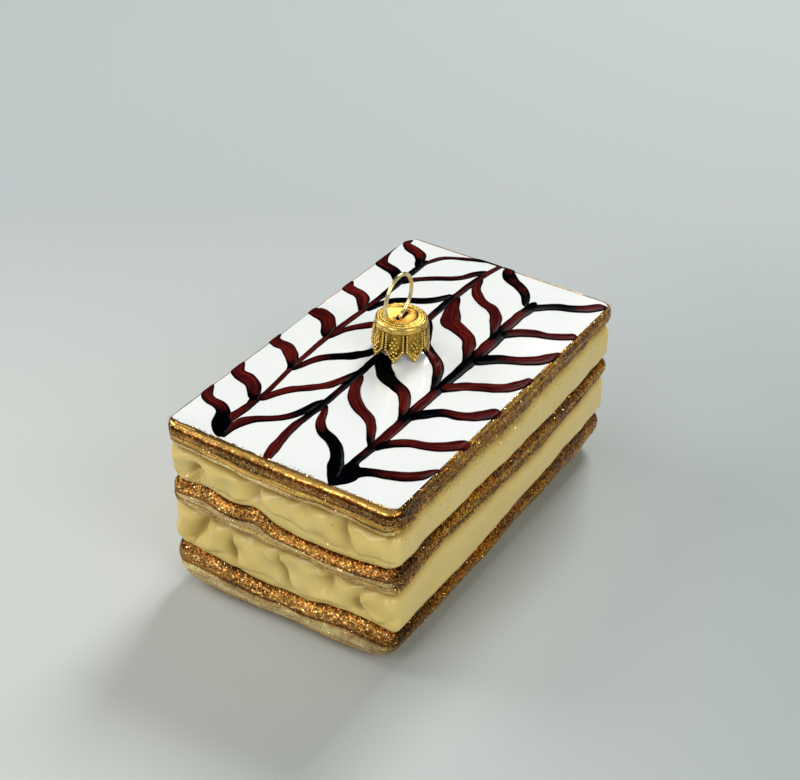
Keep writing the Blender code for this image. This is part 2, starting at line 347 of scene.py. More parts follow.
@dataclass(frozen=True)
class CreamRelief:
    """How a cream's lumps lie on an end.

    Attributes:
        folds: the folds between its lumps.
        hem: heights of the lumps' lower edges at evenly spaced stations.
        hem_depth: how far the strip under them lies in.
    """

    folds: tuple[Fold, ...]
    hem: tuple[float, ...]
    hem_depth: float

    def depth(self, walk: Array, z: Array) -> tuple[Array, Array]:
        """Depth of the cream's surface, and how much a place belongs to the strip under the lumps.

        Args:
            walk: distance along the end from its middle.
            z: height.

        Returns:
            The deeper of the folds and the strip, and one on the strip and nothing on the lumps.
        """
        folds = 1.35 * np.maximum.reduce([fold.dent(walk, z) for fold in self.folds])
        hem = smooth_line(walk, np.linspace(-27.0, 27.0, len(self.hem)), self.hem)
        under = fade(z - hem, -0.25, 0.9)
        return np.maximum(folds, self.hem_depth * under), fade(z - hem, -0.35, 0.15)


@dataclass(frozen=True)
class Crease:
    """A thin line pressed into a band: its share of the band's height, depth and thickness."""

    share: float
    depth: float
    thickness: float


@dataclass(frozen=True)
class Outline:
    """A walk round the slice's plan: places, outward directions and distance along each end."""

    x: Array
    y: Array
    normal_x: Array
    normal_y: Array
    walk: Array

    @property
    def plan(self) -> Array:
        """The places as rows of two."""
        return np.stack((self.x, self.y), axis=1)


@dataclass(frozen=True)
class SliceForm:
    """The moulded form: a rounded block with wavy borders between its five layers."""

    width: float
    length: float
    height: float = 41.0
    corner_radius: float = 3.2
    width_taper: float = 0.016
    length_taper: float = -0.011
    height_taper_x: float = -0.024
    height_taper_y: float = 0.0135
    end_reach: float = 24.0      # the borders' stations run this far either side of an end's middle
    side_reach: float = 45.0     # and this far along a side
    borders: tuple[tuple[tuple[float, ...], tuple[float, ...]], ...] = (
        ((34.9, 34.7, 34.2, 33.3, 33.0, 33.5, 33.7, 33.5, 33.3), (34.0, 34.5, 34.2, 33.6, 34.5, 35.3, 35.8)),
        ((26.4, 27.0, 26.0, 26.9, 24.7, 23.9, 23.8, 24.3, 25.1), (26.0, 26.0, 25.8, 25.4, 25.2, 25.5, 27.0)),
        ((20.5, 19.6, 19.2, 19.2, 19.4, 19.5, 18.9, 18.4, 18.8), (18.5, 20.1, 19.4, 18.6, 18.4, 19.7, 21.8)),
        ((9.9, 9.2, 8.7, 7.8, 8.0, 8.0, 9.2, 9.8, 9.4), (8.4, 8.1, 8.1, 9.2, 10.0, 10.8, 11.4)),
    )
    border_wobble: float = 0.12
    groove_side: float = 1.4
    groove_end: float = 2.4
    groove_power: float = 3.0
    cream_inset: float = 0.1
    top_edge_drop: float = 1.5
    top_edge_inset: tuple[float, float] = (0.8, 1.5)     # on the long sides and on the ends
    base_edge_side: tuple[float, float] = (8.5, 7.5)
    base_edge_end: tuple[float, float] = (4.0, 4.0)
    base_corner: float = 1.5
    corner_power: float = 5.0
    end_fade: tuple[float, float] = (25.5, 30.0)
    upper_relief: CreamRelief = CreamRelief(
        (
            Fold(((-19.2, 33.4, 0.2), (-19.6, 31.8, 1.3), (-20.6, 30.0, 2.4), (-21.2, 27.6, 2.4)), 2.3, 1.1),
            Fold(((-5.6, 34.2, 0.5), (-5.3, 32.4, 1.3), (-4.6, 31.3, 1.7), (-3.7, 30.0, 1.5), (-2.7, 29.1, 0.8),
                  (-1.5, 28.3, 0.1)), 2.6, 0.5),
            Fold(((5.9, 34.8, 1.2), (6.0, 33.2, 1.2), (5.6, 31.5, 0.5), (5.2, 30.3, 0.0)), 1.8, 1.0),
            Fold(((16.5, 34.4, 1.2), (15.6, 32.9, 1.5), (15.9, 31.6, 1.6), (16.7, 30.4, 1.5), (17.2, 28.2, 0.8)),
                 2.4, 0.5),
        ),
        (28.4, 28.4, 30.6, 30.2, 28.4, 28.1, 28.9, 29.8, 28.6, 28.0, 27.5, 27.2, 26.6, 26.5, 26.9, 27.1, 27.4,
         27.7),
        0.9)
    lower_relief: CreamRelief = CreamRelief(
        (
            Fold(((-18.2, 20.8, 0.7), (-18.9, 19.2, 1.5), (-19.7, 17.5, 1.6), (-21.0, 15.4, 1.5),
                  (-22.3, 13.5, 1.3), (-23.2, 11.8, 1.2)), 2.0, 0.6),
            Fold(((-12.5, 19.7, 0.2), (-12.4, 18.3, 0.7), (-12.3, 16.1, 1.3), (-11.8, 13.5, 1.9),
                  (-11.1, 11.2, 1.8)), 2.4, 0.45),
            Fold(((-8.4, 20.0, 0.9), (-7.6, 18.9, 0.8), (-6.0, 17.6, 0.1)), 1.2, 1.0),
            Fold(((-0.9, 19.2, 0.7), (-0.2, 17.0, 1.2), (0.6, 15.2, 1.6), (1.6, 13.4, 1.6), (2.8, 11.4, 1.1),
                  (4.2, 10.0, 0.4)), 2.2, 0.5),
            Fold(((12.4, 19.8, 1.3), (12.2, 18.0, 1.5), (11.7, 16.3, 1.4), (10.9, 14.5, 0.6), (10.2, 13.0, 0.0)),
                 1.6, 1.2),
            Fold(((20.6, 19.0, 1.0), (19.4, 17.2, 0.9), (19.1, 15.4, 1.1), (19.3, 13.6, 1.8), (20.2, 12.2, 1.6),
                  (21.8, 11.4, 0.8)), 2.2, 0.5),
        ),
        (12.4, 12.3, 11.4, 11.5, 12.3, 11.0, 10.7, 10.6, 10.6, 9.9, 9.8, 10.3, 11.2, 11.6, 12.2, 11.9, 11.4,
         12.6),
        0.8)
    creases: dict[Layer, tuple[Crease, ...]] = field(default_factory=lambda: {
        Layer.TOP_BAND: (Crease(0.46, 0.34, 0.05), Crease(0.66, 0.42, 0.045), Crease(0.88, 0.25, 0.04)),
        Layer.MIDDLE_BAND: (Crease(0.34, 0.34, 0.045), Crease(0.54, 0.36, 0.04), Crease(0.72, 0.34, 0.04)),
        Layer.BOTTOM_BAND: (Crease(0.36, 0.35, 0.045), Crease(0.58, 0.2, 0.05)),
    })
    end_steps: int = 150
    side_steps: int = 96
    corner_steps: int = 8
    layer_steps: tuple[int, ...] = (34, 28, 32, 32, 34)

    def outline(self) -> Outline:
        """Walk round the plan, anticlockwise from the left of the near end.

        Returns:
            The outline: four straight faces, each followed by a quarter circle. Along the long
            sides the walk is only large, so that nothing belonging to the ends shows there.
        """
        half_x = 0.5 * self.width - self.corner_radius
        half_y = 0.5 * self.length - self.corner_radius
        arc = 0.5 * math.pi * self.corner_radius
        bend = 0.5 * math.pi * np.arange(self.corner_steps) / self.corner_steps
        runs = []
        for turn, (half, steps) in enumerate(((half_x, self.end_steps), (half_y, self.side_steps)) * 2):
            across = (half_y if turn % 2 == 0 else half_x) + self.corner_radius
            along = -half + 2.0 * half * np.arange(steps) / steps
            x = np.concatenate((along, half + self.corner_radius * np.sin(bend)))
            y = np.concatenate((np.full(steps, -across), -across + self.corner_radius * (1.0 - np.cos(bend))))
            tilt = np.concatenate((np.zeros(steps), bend))
            if turn % 2 == 0:
                walk = np.concatenate((along, half + self.corner_radius * bend))
            else:
                walk = np.concatenate((np.full(steps, self.width), -half_x - arc + self.corner_radius * bend))
            angle = 0.5 * math.pi * turn
            c, s = math.cos(angle), math.sin(angle)
            runs.append((c * x - s * y, s * x + c * y, np.sin(angle + tilt), -np.cos(angle + tilt), walk))
        return Outline(*(np.concatenate(parts) for parts in zip(*runs)))

    def levels(self, line: Outline) -> list[Array]:
        """Heights of the top, the four borders and the base at each place of the outline.

        Args:
            line: the outline.

        Returns:
            Six arrays: the ends' and the sides' lines mixed by the squares of the outward
            direction's parts, with a little hand-painted wobble.
        """
        end_stations = np.linspace(-self.end_reach, self.end_reach, len(self.borders[0][0]))
        side_stations = np.linspace(-self.side_reach, self.side_reach, len(self.borders[0][1]))
        levels = [np.full_like(line.x, self.height)]
        for k, (end_line, side_line) in enumerate(self.borders):
            end = smooth_line(-line.x * np.sign(line.normal_y), end_stations, end_line)
            side = smooth_line(line.y * np.sign(line.normal_x), side_stations, side_line)
            wobble = self.border_wobble * ripple(line.plan, 7.0, 40 + k)
            levels.append(line.normal_y ** 2 * end + line.normal_x ** 2 * side + wobble)
        levels.append(np.zeros_like(line.x))
        return levels

    def lean(self, x: Array, y: Array, z: Array) -> Array:
        """Lean the straight block into the slightly uneven one that was blown.

        Args:
            x: places across the slice.
            y: places along it.
            z: heights.

        Returns:
            The places, one row each, stretched in proportion to how far across and along they are.
        """
        share_x, share_y = x / (0.5 * self.width), y / (0.5 * self.length)
        return np.stack((x * (1.0 + self.width_taper * share_y), y * (1.0 + self.length_taper * share_x),
                         z * (1.0 + self.height_taper_x * share_x + self.height_taper_y * share_y)), axis=-1)

    def slopes(self) -> tuple[float, float]:
        """How fast the leaning top rises along X and along Y."""
        return (self.height * self.height_taper_x / (0.5 * self.width),
                self.height * self.height_taper_y / (0.5 * self.length))

    def base_shrink(self, line: Outline, z: Array, band_top: Array) -> tuple[Array, Array]:
        """How much the plan draws in at the base's round edge.

        Args:
            line: the outline.
            z: heights of the ring.
            band_top: heights of the bottom band's upper border.

        Returns:
            Factors on X and on Y: quarter ellipses in height, larger towards the corners.
        """
        corner = ((2.0 * np.abs(line.x) / self.width) ** self.corner_power
                  * (2.0 * np.abs(line.y) / self.length) ** self.corner_power)
        factors = []
        for half, (rise, reach) in ((0.5 * self.width, self.base_edge_side), (0.5 * self.length, self.base_edge_end)):
            edge_top = np.minimum(rise + self.base_corner * corner, 0.85 * band_top)
            drop = np.clip(1.0 - z / edge_top, 0.0, 1.0)
            drawn_in = (reach + self.base_corner * corner) * (1.0 - np.sqrt(1.0 - drop * drop))
            factors.append(1.0 - drawn_in / half)
        return factors[0], factors[1]


@dataclass(frozen=True)
class NeckSeat:
    """Where the neck, the cap and the loop stand, square to the leaning top."""

    form: SliceForm
    x: float = -2.0
    y: float = 1.1

    def matrix(self) -> Matrix:
        """Place and direction of the spot, in millimetres: +Z square to the top, +Y along the slice."""
        slope_x, slope_y = self.form.slopes()
        upright = Vector((-slope_x, -slope_y, 1.0)).normalized()
        across = Vector((0.0, 1.0, 0.0)).cross(upright).normalized()
        turn = Matrix((across, upright.cross(across), upright)).transposed().to_4x4()
        foot = self.form.height + slope_x * self.x + slope_y * self.y
        return Matrix.Translation((self.x, self.y, foot)) @ turn

    def place(self, points: Array) -> Array:
        """Move places given about the spot to where they belong on the slice.

        Args:
            points: places about the spot, with a last axis of three.

        Returns:
            The same places in the slice's own directions.
        """
        matrix = np.array(self.matrix())
        return points @ matrix[:3, :3].T + matrix[:3, 3]


# --------------------------------------------------------------------------------------------
# The painted glass skin
# --------------------------------------------------------------------------------------------

@dataclass
class GlassSkin:
    """The whole glass form as one closed surface, from the neck's bore to the base's middle.

    Its rings run from the bore's bottom up over the neck's rim, down the neck, out over the
    icing, down the layers and in under the base; every ring has the outline's columns.
    """

    form: SliceForm
    seat: NeckSeat
    neck_radius: float = 4.75
    neck_height: float = 7.6
    bore_radius: float = 3.5
    bore_depth: float = 9.0
    swell_height: float = 0.9    # of the glass round the neck's foot
    swell_reach: float = 2.2
    top_rings: int = 34
    base_rings: int = 5
    top_wave: float = 0.05       # unevenness of the icing
    ring_height: float = 0.09    # of the faint ring of icing round the neck
    ring_reach: float = 4.6      # its distance from the neck
    side_wave: float = 0.10      # and of the sides
    line: Outline = field(init=False)
    rings: Array = field(init=False)     # places, ring by ring
    down: Array = field(init=False)      # layer and share of its height; under nothing on the icing
    on_end: Array = field(init=False)    # one on the two ends and nothing on the long sides
    # The next field is how far into a crease or groove a place lies; the cream paint darkens there as painted shade.
    hollow_shade: Array = field(init=False)    # one in the creams' creases and the grooves

    def __post_init__(self) -> None:
        """Work out all rings."""
        self.line = self.form.outline()
        self.on_end = fade(np.abs(self.line.walk), *self.form.end_fade)
        parts = [self._neck(), self._top(), self._layers(), self._base()]
        self.rings = np.concatenate([rings for rings, _, _ in parts])
        self.down = np.concatenate([down for _, down, _ in parts])
        self.hollow_shade = np.concatenate([hollow_shade for _, _, hollow_shade in parts])

    def top_height(self, x: Array, y: Array) -> Array:
        """Height of the icing's surface at places in plan.

        Args:
            x: places across.
            y: places along.

        Returns:
            The leaning plane, the swelling round the neck and a slight unevenness, falling away
            as a quarter ellipse within the top edge's inset of the outline.
        """
        form = self.form
        slope_x, slope_y = form.slopes()
        distance = np.hypot(x - self.seat.x, y - self.seat.y) - self.neck_radius
        swell = self.swell_height * np.exp(-np.clip(distance, 0.0, None) / self.swell_reach)
        wave = self.top_wave * ripple(np.stack((x, y), axis=-1), 26.0, 7)
        wave = wave + self.ring_height * np.exp(-((distance - self.ring_reach) / 0.45) ** 2)
        inside_x = 0.5 * form.width * (1.0 + form.width_taper * y / (0.5 * form.length)) - np.abs(x)
        inside_y = 0.5 * form.length * (1.0 + form.length_taper * x / (0.5 * form.width)) - np.abs(y)
        short = np.clip(np.maximum(1.0 - inside_x / form.top_edge_inset[0],
                                   1.0 - inside_y / form.top_edge_inset[1]), 0.0, 1.0)
        edge = form.top_edge_drop * (1.0 - np.sqrt(1.0 - short * short))
        return form.height + slope_x * x + slope_y * y + swell + wave - edge

    def _circle(self, radius: float, height: float) -> Array:
        """A ring about the neck's axis with the outline's columns, each in its own direction."""
        angle = np.arctan2(self.line.y - self.seat.y, self.line.x - self.seat.x)
        ring = np.stack((radius * np.cos(angle), radius * np.sin(angle), np.full_like(angle, height)), axis=1)
        return self.seat.place(ring)

    def _neck(self) -> tuple[Array, Array, Array]:
        """Rings up the bore, over the round rim and down the outside of the neck.

        Returns:
            The rings, their layer values and their hollowness.
        """
        middle = 0.5 * (self.neck_radius + self.bore_radius)
        lip = 0.5 * (self.neck_radius - self.bore_radius)
        bottom = self.neck_height - self.bore_depth
        profile = [(self.bore_radius, bottom), (self.bore_radius, 0.5 * self.neck_height)]
        profile += [(middle - lip * math.cos(a), self.neck_height - lip + lip * math.sin(a))
                    for a in np.linspace(0.0, math.pi, 6)]
        profile += [(self.neck_radius, 3.0)]
        rings = np.stack([self._circle(radius, height) for radius, height in profile])
        return rings, np.full(rings.shape[:2], -1.0), np.zeros(rings.shape[:2])

    def _top(self) -> tuple[Array, Array, Array]:
        """Rings from the neck's foot out to the top's edge.

        Returns:
            The rings, their layer values and their hollowness. A ring's plan is the neck's
            circle mixed with the outline, by a share that crowds the rings at both.
        """
        form, line = self.form, self.line
        foot = self._circle(self.neck_radius + 0.05, 0.0)[:, :2]
        edge = form.lean(line.x - form.top_edge_inset[0] * line.normal_x,
                         line.y - form.top_edge_inset[1] * line.normal_y, np.zeros_like(line.x))[:, :2]
        share = 0.5 - 0.5 * np.cos(math.pi * np.linspace(0.0, 1.0, self.top_rings)[:, None, None])
        plan = foot + (edge - foot) * share
        rings = np.concatenate((plan, self.top_height(plan[..., 0], plan[..., 1])[..., None]), axis=-1)
        return rings[:-1], np.full(rings[:-1].shape[:2], -0.5), np.zeros(rings[:-1].shape[:2])

    def _layers(self) -> tuple[Array, Array, Array]:
        """Rings from the top's edge down to the base's.

        Returns:
            The rings, their layer values and their hollowness.
        """
        form, line = self.form, self.line
        levels = form.levels(line)
        groove = form.groove_side + (form.groove_end - form.groove_side) * self.on_end
        rings, downs, hollows = [], [], []
        for layer, steps in zip(Layer, form.layer_steps):
            k = layer.value
            top, bottom = levels[k], levels[k + 1]
            for step in range(steps + (k == 4)):
                even = step / steps
                t = even - 0.11 * math.sin(TAU * even)
                z = top + (bottom - top) * t
                edge = abs(2.0 * t - 1.0)
                inset = groove * edge ** form.groove_power
                hollow_shade, rounding = np.full_like(z, edge ** 6), np.zeros_like(z)
                if layer in (Layer.UPPER_CREAM, Layer.LOWER_CREAM):
                    inset, hollow_shade = self._cream(layer, z, edge, groove)
                else:
                    inset = inset + self._creases(layer, t)
                if layer is Layer.TOP_BAND and t < 0.5:
                    rise = np.clip((z - form.height + form.top_edge_drop) / form.top_edge_drop, 0.0, 1.0)
                    inset = self._creases(layer, t) * fade(rise, 0.0, 0.3)
                    rounding = 1.0 - np.sqrt(1.0 - rise * rise)
                    hollow_shade = np.zeros_like(z)
                if layer is Layer.BOTTOM_BAND and t > 0.5:
                    inset = self._creases(layer, t) * fade(np.asarray(t), 0.5, 0.8)
                    hollow_shade = np.zeros_like(z)
                shrink_x, shrink_y = form.base_shrink(line, z, levels[4])
                inset_x, inset_y = (inset + rounding * reach for reach in form.top_edge_inset)
                place = form.lean(shrink_x * (line.x - inset_x * line.normal_x),
                                  shrink_y * (line.y - inset_y * line.normal_y), z)
                wave = self.side_wave * ripple(place, 17.0, 21) * fade(np.asarray(edge), 0.8, 1.0)
                place[:, 0] -= (wave + self.side_wave) * line.normal_x
                place[:, 1] -= (wave + self.side_wave) * line.normal_y
                rings.append(place)
                downs.append(np.full_like(z, k + min(t, 0.999)))
                hollows.append(hollow_shade)
        return np.stack(rings), np.stack(downs), np.stack(hollows)

    def _creases(self, layer: Layer, t: float) -> Array:
        """Depth of a band's thin pressed lines round the outline.

        Args:
            layer: which band.
            t: share of the band's height, from its top.

        Returns:
            The sum of depth * exp(-((t - share - wobble) / thickness)^2), weaker on the sides.
        """
        plan = self.line.plan
        depth = np.zeros(len(plan))
        for k, crease in enumerate(self.form.creases[layer]):
            seed = 60 + 10 * layer.value + k
            wander = 0.035 * ripple(plan, 19.0, seed)
            strength = np.clip(0.7 + 0.5 * ripple(plan, 15.0, seed + 5), 0.1, 1.3)
            depth += crease.depth * strength * np.exp(-((t - crease.share - wander) / crease.thickness) ** 2)
        return depth * (0.35 + 0.65 * self.on_end)

    def _cream(self, layer: Layer, z: Array, edge: float, groove: Array) -> tuple[Array, Array]:
        """How far a cream's surface lies in, and how far into a crease a place is.

        Args:
            layer: which cream.
            z: heights of the ring.
            edge: nothing in the middle of the layer and one at its borders.
            groove: depth of the borders' groove.

        Returns:
            The inset and the hollowness, which sets the cream's painted shade. On the ends the lumps stand over a
            floor.
        """
        form, walk = self.form, self.line.walk
        relief = form.upper_relief if layer is Layer.UPPER_CREAM else form.lower_relief
        spots = np.stack((walk, z), axis=1)
        depth, strip = relief.depth(walk, z)
        swell = 0.38 * (1.0 + ripple(spots, 7.5, 31 + layer.value)) + 0.03 * ripple(spots, 3.6, 51 + layer.value)
        full = form.cream_inset + self.on_end * (depth + np.clip(swell, 0.0, None) * (1.0 - strip))
        closing = edge ** (2.0 * form.groove_power)
        # this hollowness is what darkens the cream's colour as painted shade
        hollow_shade = np.maximum(closing, self.on_end * np.clip(depth * (1.0 - strip) / 2.0, 0.0, 1.0))
        return full + (groove - full) * closing, hollow_shade

    def _base(self) -> tuple[Array, Array, Array]:
        """Rings in from the base's edge towards its middle, all at height nothing."""
        last = self._layers()[0][-1]
        share = np.linspace(1.0, 0.0, self.base_rings + 1)[1:-1, None, None]
        rings = last * share
        rings[..., 2] = 0.0
        return rings, np.full(rings.shape[:2], 4.999), np.zeros(rings.shape[:2])

    def sheet(self) -> Sheet:
        """Make the closed skin.

        Returns:
            The sheet, with the values down, on_end and hollow and a slot for each paint.
        """
        rows, columns = self.rings.shape[:2]
        inner = np.array([[*self.seat.place(np.array([0.0, 0.0, self.neck_height - self.bore_depth]))]])
        points = np.vstack((self.rings.reshape(-1, 3), inner, [[0.0, 0.0, 0.0]]))
        ring = np.arange(columns)
        after = (ring + 1) % columns
        start, end = rows * columns, rows * columns + 1
        bottom = (rows - 1) * columns
        fans = np.vstack((
            np.stack((np.full(columns, start), ring, after), axis=1),
            np.stack((np.full(columns, end), bottom + after, bottom + ring), axis=1)))
        paints = np.array([Paint.TOP_BAND, Paint.CREAM, Paint.MIDDLE_BAND, Paint.CREAM, Paint.BOTTOM_BAND])
        slot_of_layer = np.array([paint.value for paint in paints])
        per_ring = np.where(self.down[:-1, 0] < 0.0, Paint.ENAMEL.value,
                            slot_of_layer[np.clip(self.down[:-1, 0].astype(int), 0, 4)])
        slots = np.concatenate((np.repeat(per_ring, columns), np.full(columns, Paint.ENAMEL.value),
                                np.full(columns, Paint.BOTTOM_BAND.value)))
        values = {
            "down": np.concatenate((self.down.ravel(), [-1.0, 4.999])),
            "on_end": np.concatenate((np.tile(self.on_end, rows), [0.0, 0.0])),
            "hollow_shade": np.concatenate((self.hollow_shade.ravel(), [0.0, 0.0])),
        }
        return Sheet(points, grid_faces(rows, columns, True), fans, slots, values)


# --------------------------------------------------------------------------------------------
# The feathered lines
# --------------------------------------------------------------------------------------------

# Every line is a brush stroke through stations of place across, place along, width and darkness.
Stations = tuple[tuple[float, float, float, float], ...]

SPINES: tuple[Stations, ...] = (
    ((-14.6, -46.4, 0.7, .9), (-15.6, -44.0, 1.9, .8), (-16.9, -41.5, 2.4, .3), (-16.6, -38.0, 2.3, .1),
     (-16.4, -34.5, 2.0, .5), (-16.2, -30.0, 1.4, .6), (-16.6, -25.0, 1.3, .1), (-17.3, -19.5, 1.3, .3),
     (-17.8, -12.5, 1.35, .1), (-18.2, -5.0, 1.5, .3), (-18.1, 5.0, 1.6, .3), (-18.0, 15.0, 1.6, .4),
     (-17.9, 23.0, 1.9, .9), (-18.0, 35.0, 1.8, 1.), (-18.0, 40.0, 1.2, .6)),
    ((-2.5, -47.3, 1.5, .0), (-3.05, -45.8, 2.3, .0), (-3.6, -43.0, 2.5, .05), (-4.2, -38.9, 2.1, .1),
     (-4.5, -35.0, 2.1, .3), (-4.3, -32.0, 1.7, .7), (-4.15, -27.0, 1.8, .95), (-4.2, -20.0, 1.7, .6),
     (-4.4, -14.0, 1.9, 1.), (-4.4, -8.0, 2.0, 1.), (-4.3, -3.0, 1.8, .9), (-4.1, 6.0, 1.8, .5),
     (-3.9, 15.0, 1.9, .4), (-4.0, 25.0, 2.0, 1.), (-3.8, 31.0, 1.9, .4), (-3.6, 37.0, 1.9, .7),
     (-3.0, 42.0, 1.7, .3), (-2.3, 46.0, 1.5, .3), (-1.9, 48.3, 1.4, .6)),
    ((12.2, -47.1, 0.5, 1.), (12.25, -46.2, 2.3, 1.), (12.3, -45.0, 4.1, 1.), (12.6, -43.5, 5.0, 1.),
     (12.9, -42.0, 5.3, 1.), (12.8, -40.7, 4.6, 1.), (12.3, -39.3, 2.6, 1.), (12.1, -38.0, 2.0, .9),
     (12.2, -35.5, 2.1, .6), (12.4, -32.5, 2.2, .7), (12.6, -29.0, 2.5, .2), (12.6, -24.0, 2.6, .0),
     (12.6, -20.0, 2.6, .9), (12.6, -14.0, 2.6, .1), (12.7, -9.5, 2.5, .3), (12.7, -6.0, 2.5, 1.),
     (12.8, 0.0, 2.6, .7), (12.9, 5.0, 3.0, 1.), (13.0, 9.0, 3.3, .6), (12.95, 14.0, 3.4, .1),
     (12.9, 19.0, 3.2, 1.), (12.6, 24.0, 2.8, .2), (12.7, 30.0, 2.8, .1), (13.0, 33.5, 2.8, 1.),
     (12.8, 36.5, 1.8, 1.), (12.7, 37.5, 0.4, 1.)),
)

LEFT_ROW: tuple[Stations, ...] = (
    ((-28.0, -32.6, 2.0, .3), (-25.8, -36.3, 2.6, .2), (-23.9, -37.5, 2.7, .2), (-21.7, -37.8, 2.9, .3),
     (-19.6, -39.0, 2.9, .6), (-17.4, -42.2, 4.2, 1.), (-16.0, -44.5, 3.6, 1.), (-14.6, -46.7, 0.9, 1.)),
    ((-28.0, -22.0, 2.0, .3), (-26.2, -25.4, 3.0, .1), (-24.7, -26.4, 3.6, .1), (-22.8, -26.7, 3.8, .1),
     (-20.3, -28.0, 3.4, .2), (-18.05, -30.6, 2.8, .5), (-16.9, -32.2, 2.0, 1.), (-17.0, -34.2, 0.9, 1.)),
    ((-28.1, -8.0, 1.8, .3), (-27.4, -10.7, 2.8, .1), (-25.5, -11.7, 3.3, .1), (-23.3, -11.8, 3.4, .0),
     (-21.4, -13.05, 3.4, .1), (-19.45, -15.1, 2.9, .2), (-18.0, -17.2, 2.0, .7), (-17.5, -19.3, 0.8, 1.)),
    ((-28.1, 5.0, 3.4, .2), (-26.9, 4.2, 4.0, .1), (-24.7, 4.0, 4.4, .1), (-22.8, 3.05, 4.0, .2),
     (-20.8, 1.1, 3.4, .2), (-19.6, -1.7, 2.8, .5), (-18.5, -3.9, 1.0, 1.)),
    ((-28.1, 21.0, 1.8, .3), (-27.1, 18.2, 3.2, .1), (-25.3, 17.3, 3.4, .1), (-23.0, 16.8, 3.4, .1),
     (-20.95, 15.3, 3.2, .1), (-19.2, 12.5, 2.4, .4), (-18.4, 10.2, 0.9, 1.)),
    ((-27.9, 41.0, 0.6, .5), (-27.8, 38.3, 0.9, .4), (-27.4, 35.0, 2.0, .3), (-26.4, 32.2, 3.2, .3),
     (-24.7, 31.4, 3.4, .4), (-22.8, 30.8, 3.4, .5), (-20.8, 29.7, 3.2, .8), (-19.2, 27.8, 2.6, 1.),
     (-18.4, 25.6, 1.0, 1.)),
    ((-26.5, 46.8, 0.7, .5), (-26.7, 44.4, 2.0, .3), (-25.1, 43.05, 3.0, .2), (-23.3, 42.2, 3.6, .2),
     (-21.4, 41.4, 3.3, .2), (-19.9, 39.4, 2.6, .6), (-18.8, 36.9, 2.0, 1.), (-18.2, 35.2, 1.0, 1.)),
)

INNER_LEFT_ROW: tuple[Stations, ...] = (
    ((-14.1, -46.4, 0.8, .8), (-14.5, -43.0, 1.9, .3), (-14.0, -39.9, 2.8, .1), (-12.5, -37.8, 2.4, .4),
     (-10.3, -36.1, 2.0, .4), (-8.3, -34.4, 2.0, .4), (-6.8, -32.2, 2.1, .6), (-5.8, -29.2, 2.1, 1.),
     (-5.3, -26.2, 1.7, 1.), (-4.6, -24.0, 1.0, 1.)),
    ((-15.9, -31.8, 1.4, .8), (-15.3, -30.3, 2.0, .3), (-14.4, -28.1, 2.1, .1), (-12.9, -25.3, 2.4, .1),
     (-11.0, -23.3, 2.3, .2), (-9.0, -21.25, 2.3, .1), (-7.2, -18.9, 2.3, .2), (-6.1, -16.1, 2.2, .3),
     (-5.3, -13.0, 1.6, .8), (-4.9, -11.4, 1.2, 1.), (-4.5, -9.6, 0.8, 1.)),
    ((-17.0, -18.8, 1.2, .8), (-16.4, -16.8, 1.5, .6), (-15.8, -14.2, 1.9, .3), (-14.4, -11.1, 2.4, .4),
     (-12.2, -8.9, 2.5, .8), (-9.4, -6.7, 2.9, 1.), (-7.2, -4.4, 2.6, 1.), (-5.8, -2.4, 2.2, 1.),
     (-4.8, -0.4, 1.3, 1.), (-4.3, 1.4, 0.8, 1.)),
    ((-17.9, -3.6, 1.2, .8), (-17.4, -1.5, 1.6, .4), (-16.7, 1.1, 1.8, .2), (-15.6, 3.05, 2.2, .2),
     (-14.2, 5.0, 2.6, .3), (-12.7, 6.8, 2.7, .4), (-10.4, 8.8, 2.5, .5), (-7.9, 10.9, 2.4, .4),
     (-5.8, 13.2, 2.0, .6), (-4.6, 15.6, 1.3, .9), (-4.1, 17.4, 0.8, .9)),
    ((-17.4, 11.2, 1.2, .8), (-17.0, 13.0, 1.6, .8), (-16.4, 15.6, 2.0, .8), (-14.7, 18.3, 2.4, .9),
     (-11.9, 20.6, 2.4, .7), (-9.2, 22.2, 2.6, .9), (-6.9, 24.4, 2.4, 1.), (-5.6, 26.9, 2.0, 1.),
     (-4.8, 29.0, 1.1, 1.)),
    ((-17.4, 26.3, 1.2, .9), (-16.7, 27.8, 1.7, .8), (-15.7, 29.7, 2.0, .4), (-14.2, 31.4, 2.0, .4),
     (-11.7, 33.6, 2.1, .5), (-8.75, 35.7, 2.1, .5), (-6.8, 37.8, 2.0, .4), (-5.5, 40.3, 2.2, .6),
     (-4.2, 42.2, 1.8, .8), (-3.2, 43.4, 1.0, .9)),
    ((-17.8, 37.2, 1.0, .9), (-17.5, 38.9, 1.3, .6), (-16.7, 41.1, 1.6, .3), (-15.5, 43.2, 1.6, .4),
     (-13.6, 44.6, 1.5, .5), (-10.3, 46.1, 1.6, .6), (-7.2, 47.4, 1.6, .7), (-4.6, 48.1, 1.4, .8),
     (-2.3, 48.2, 1.3, .8)),
)

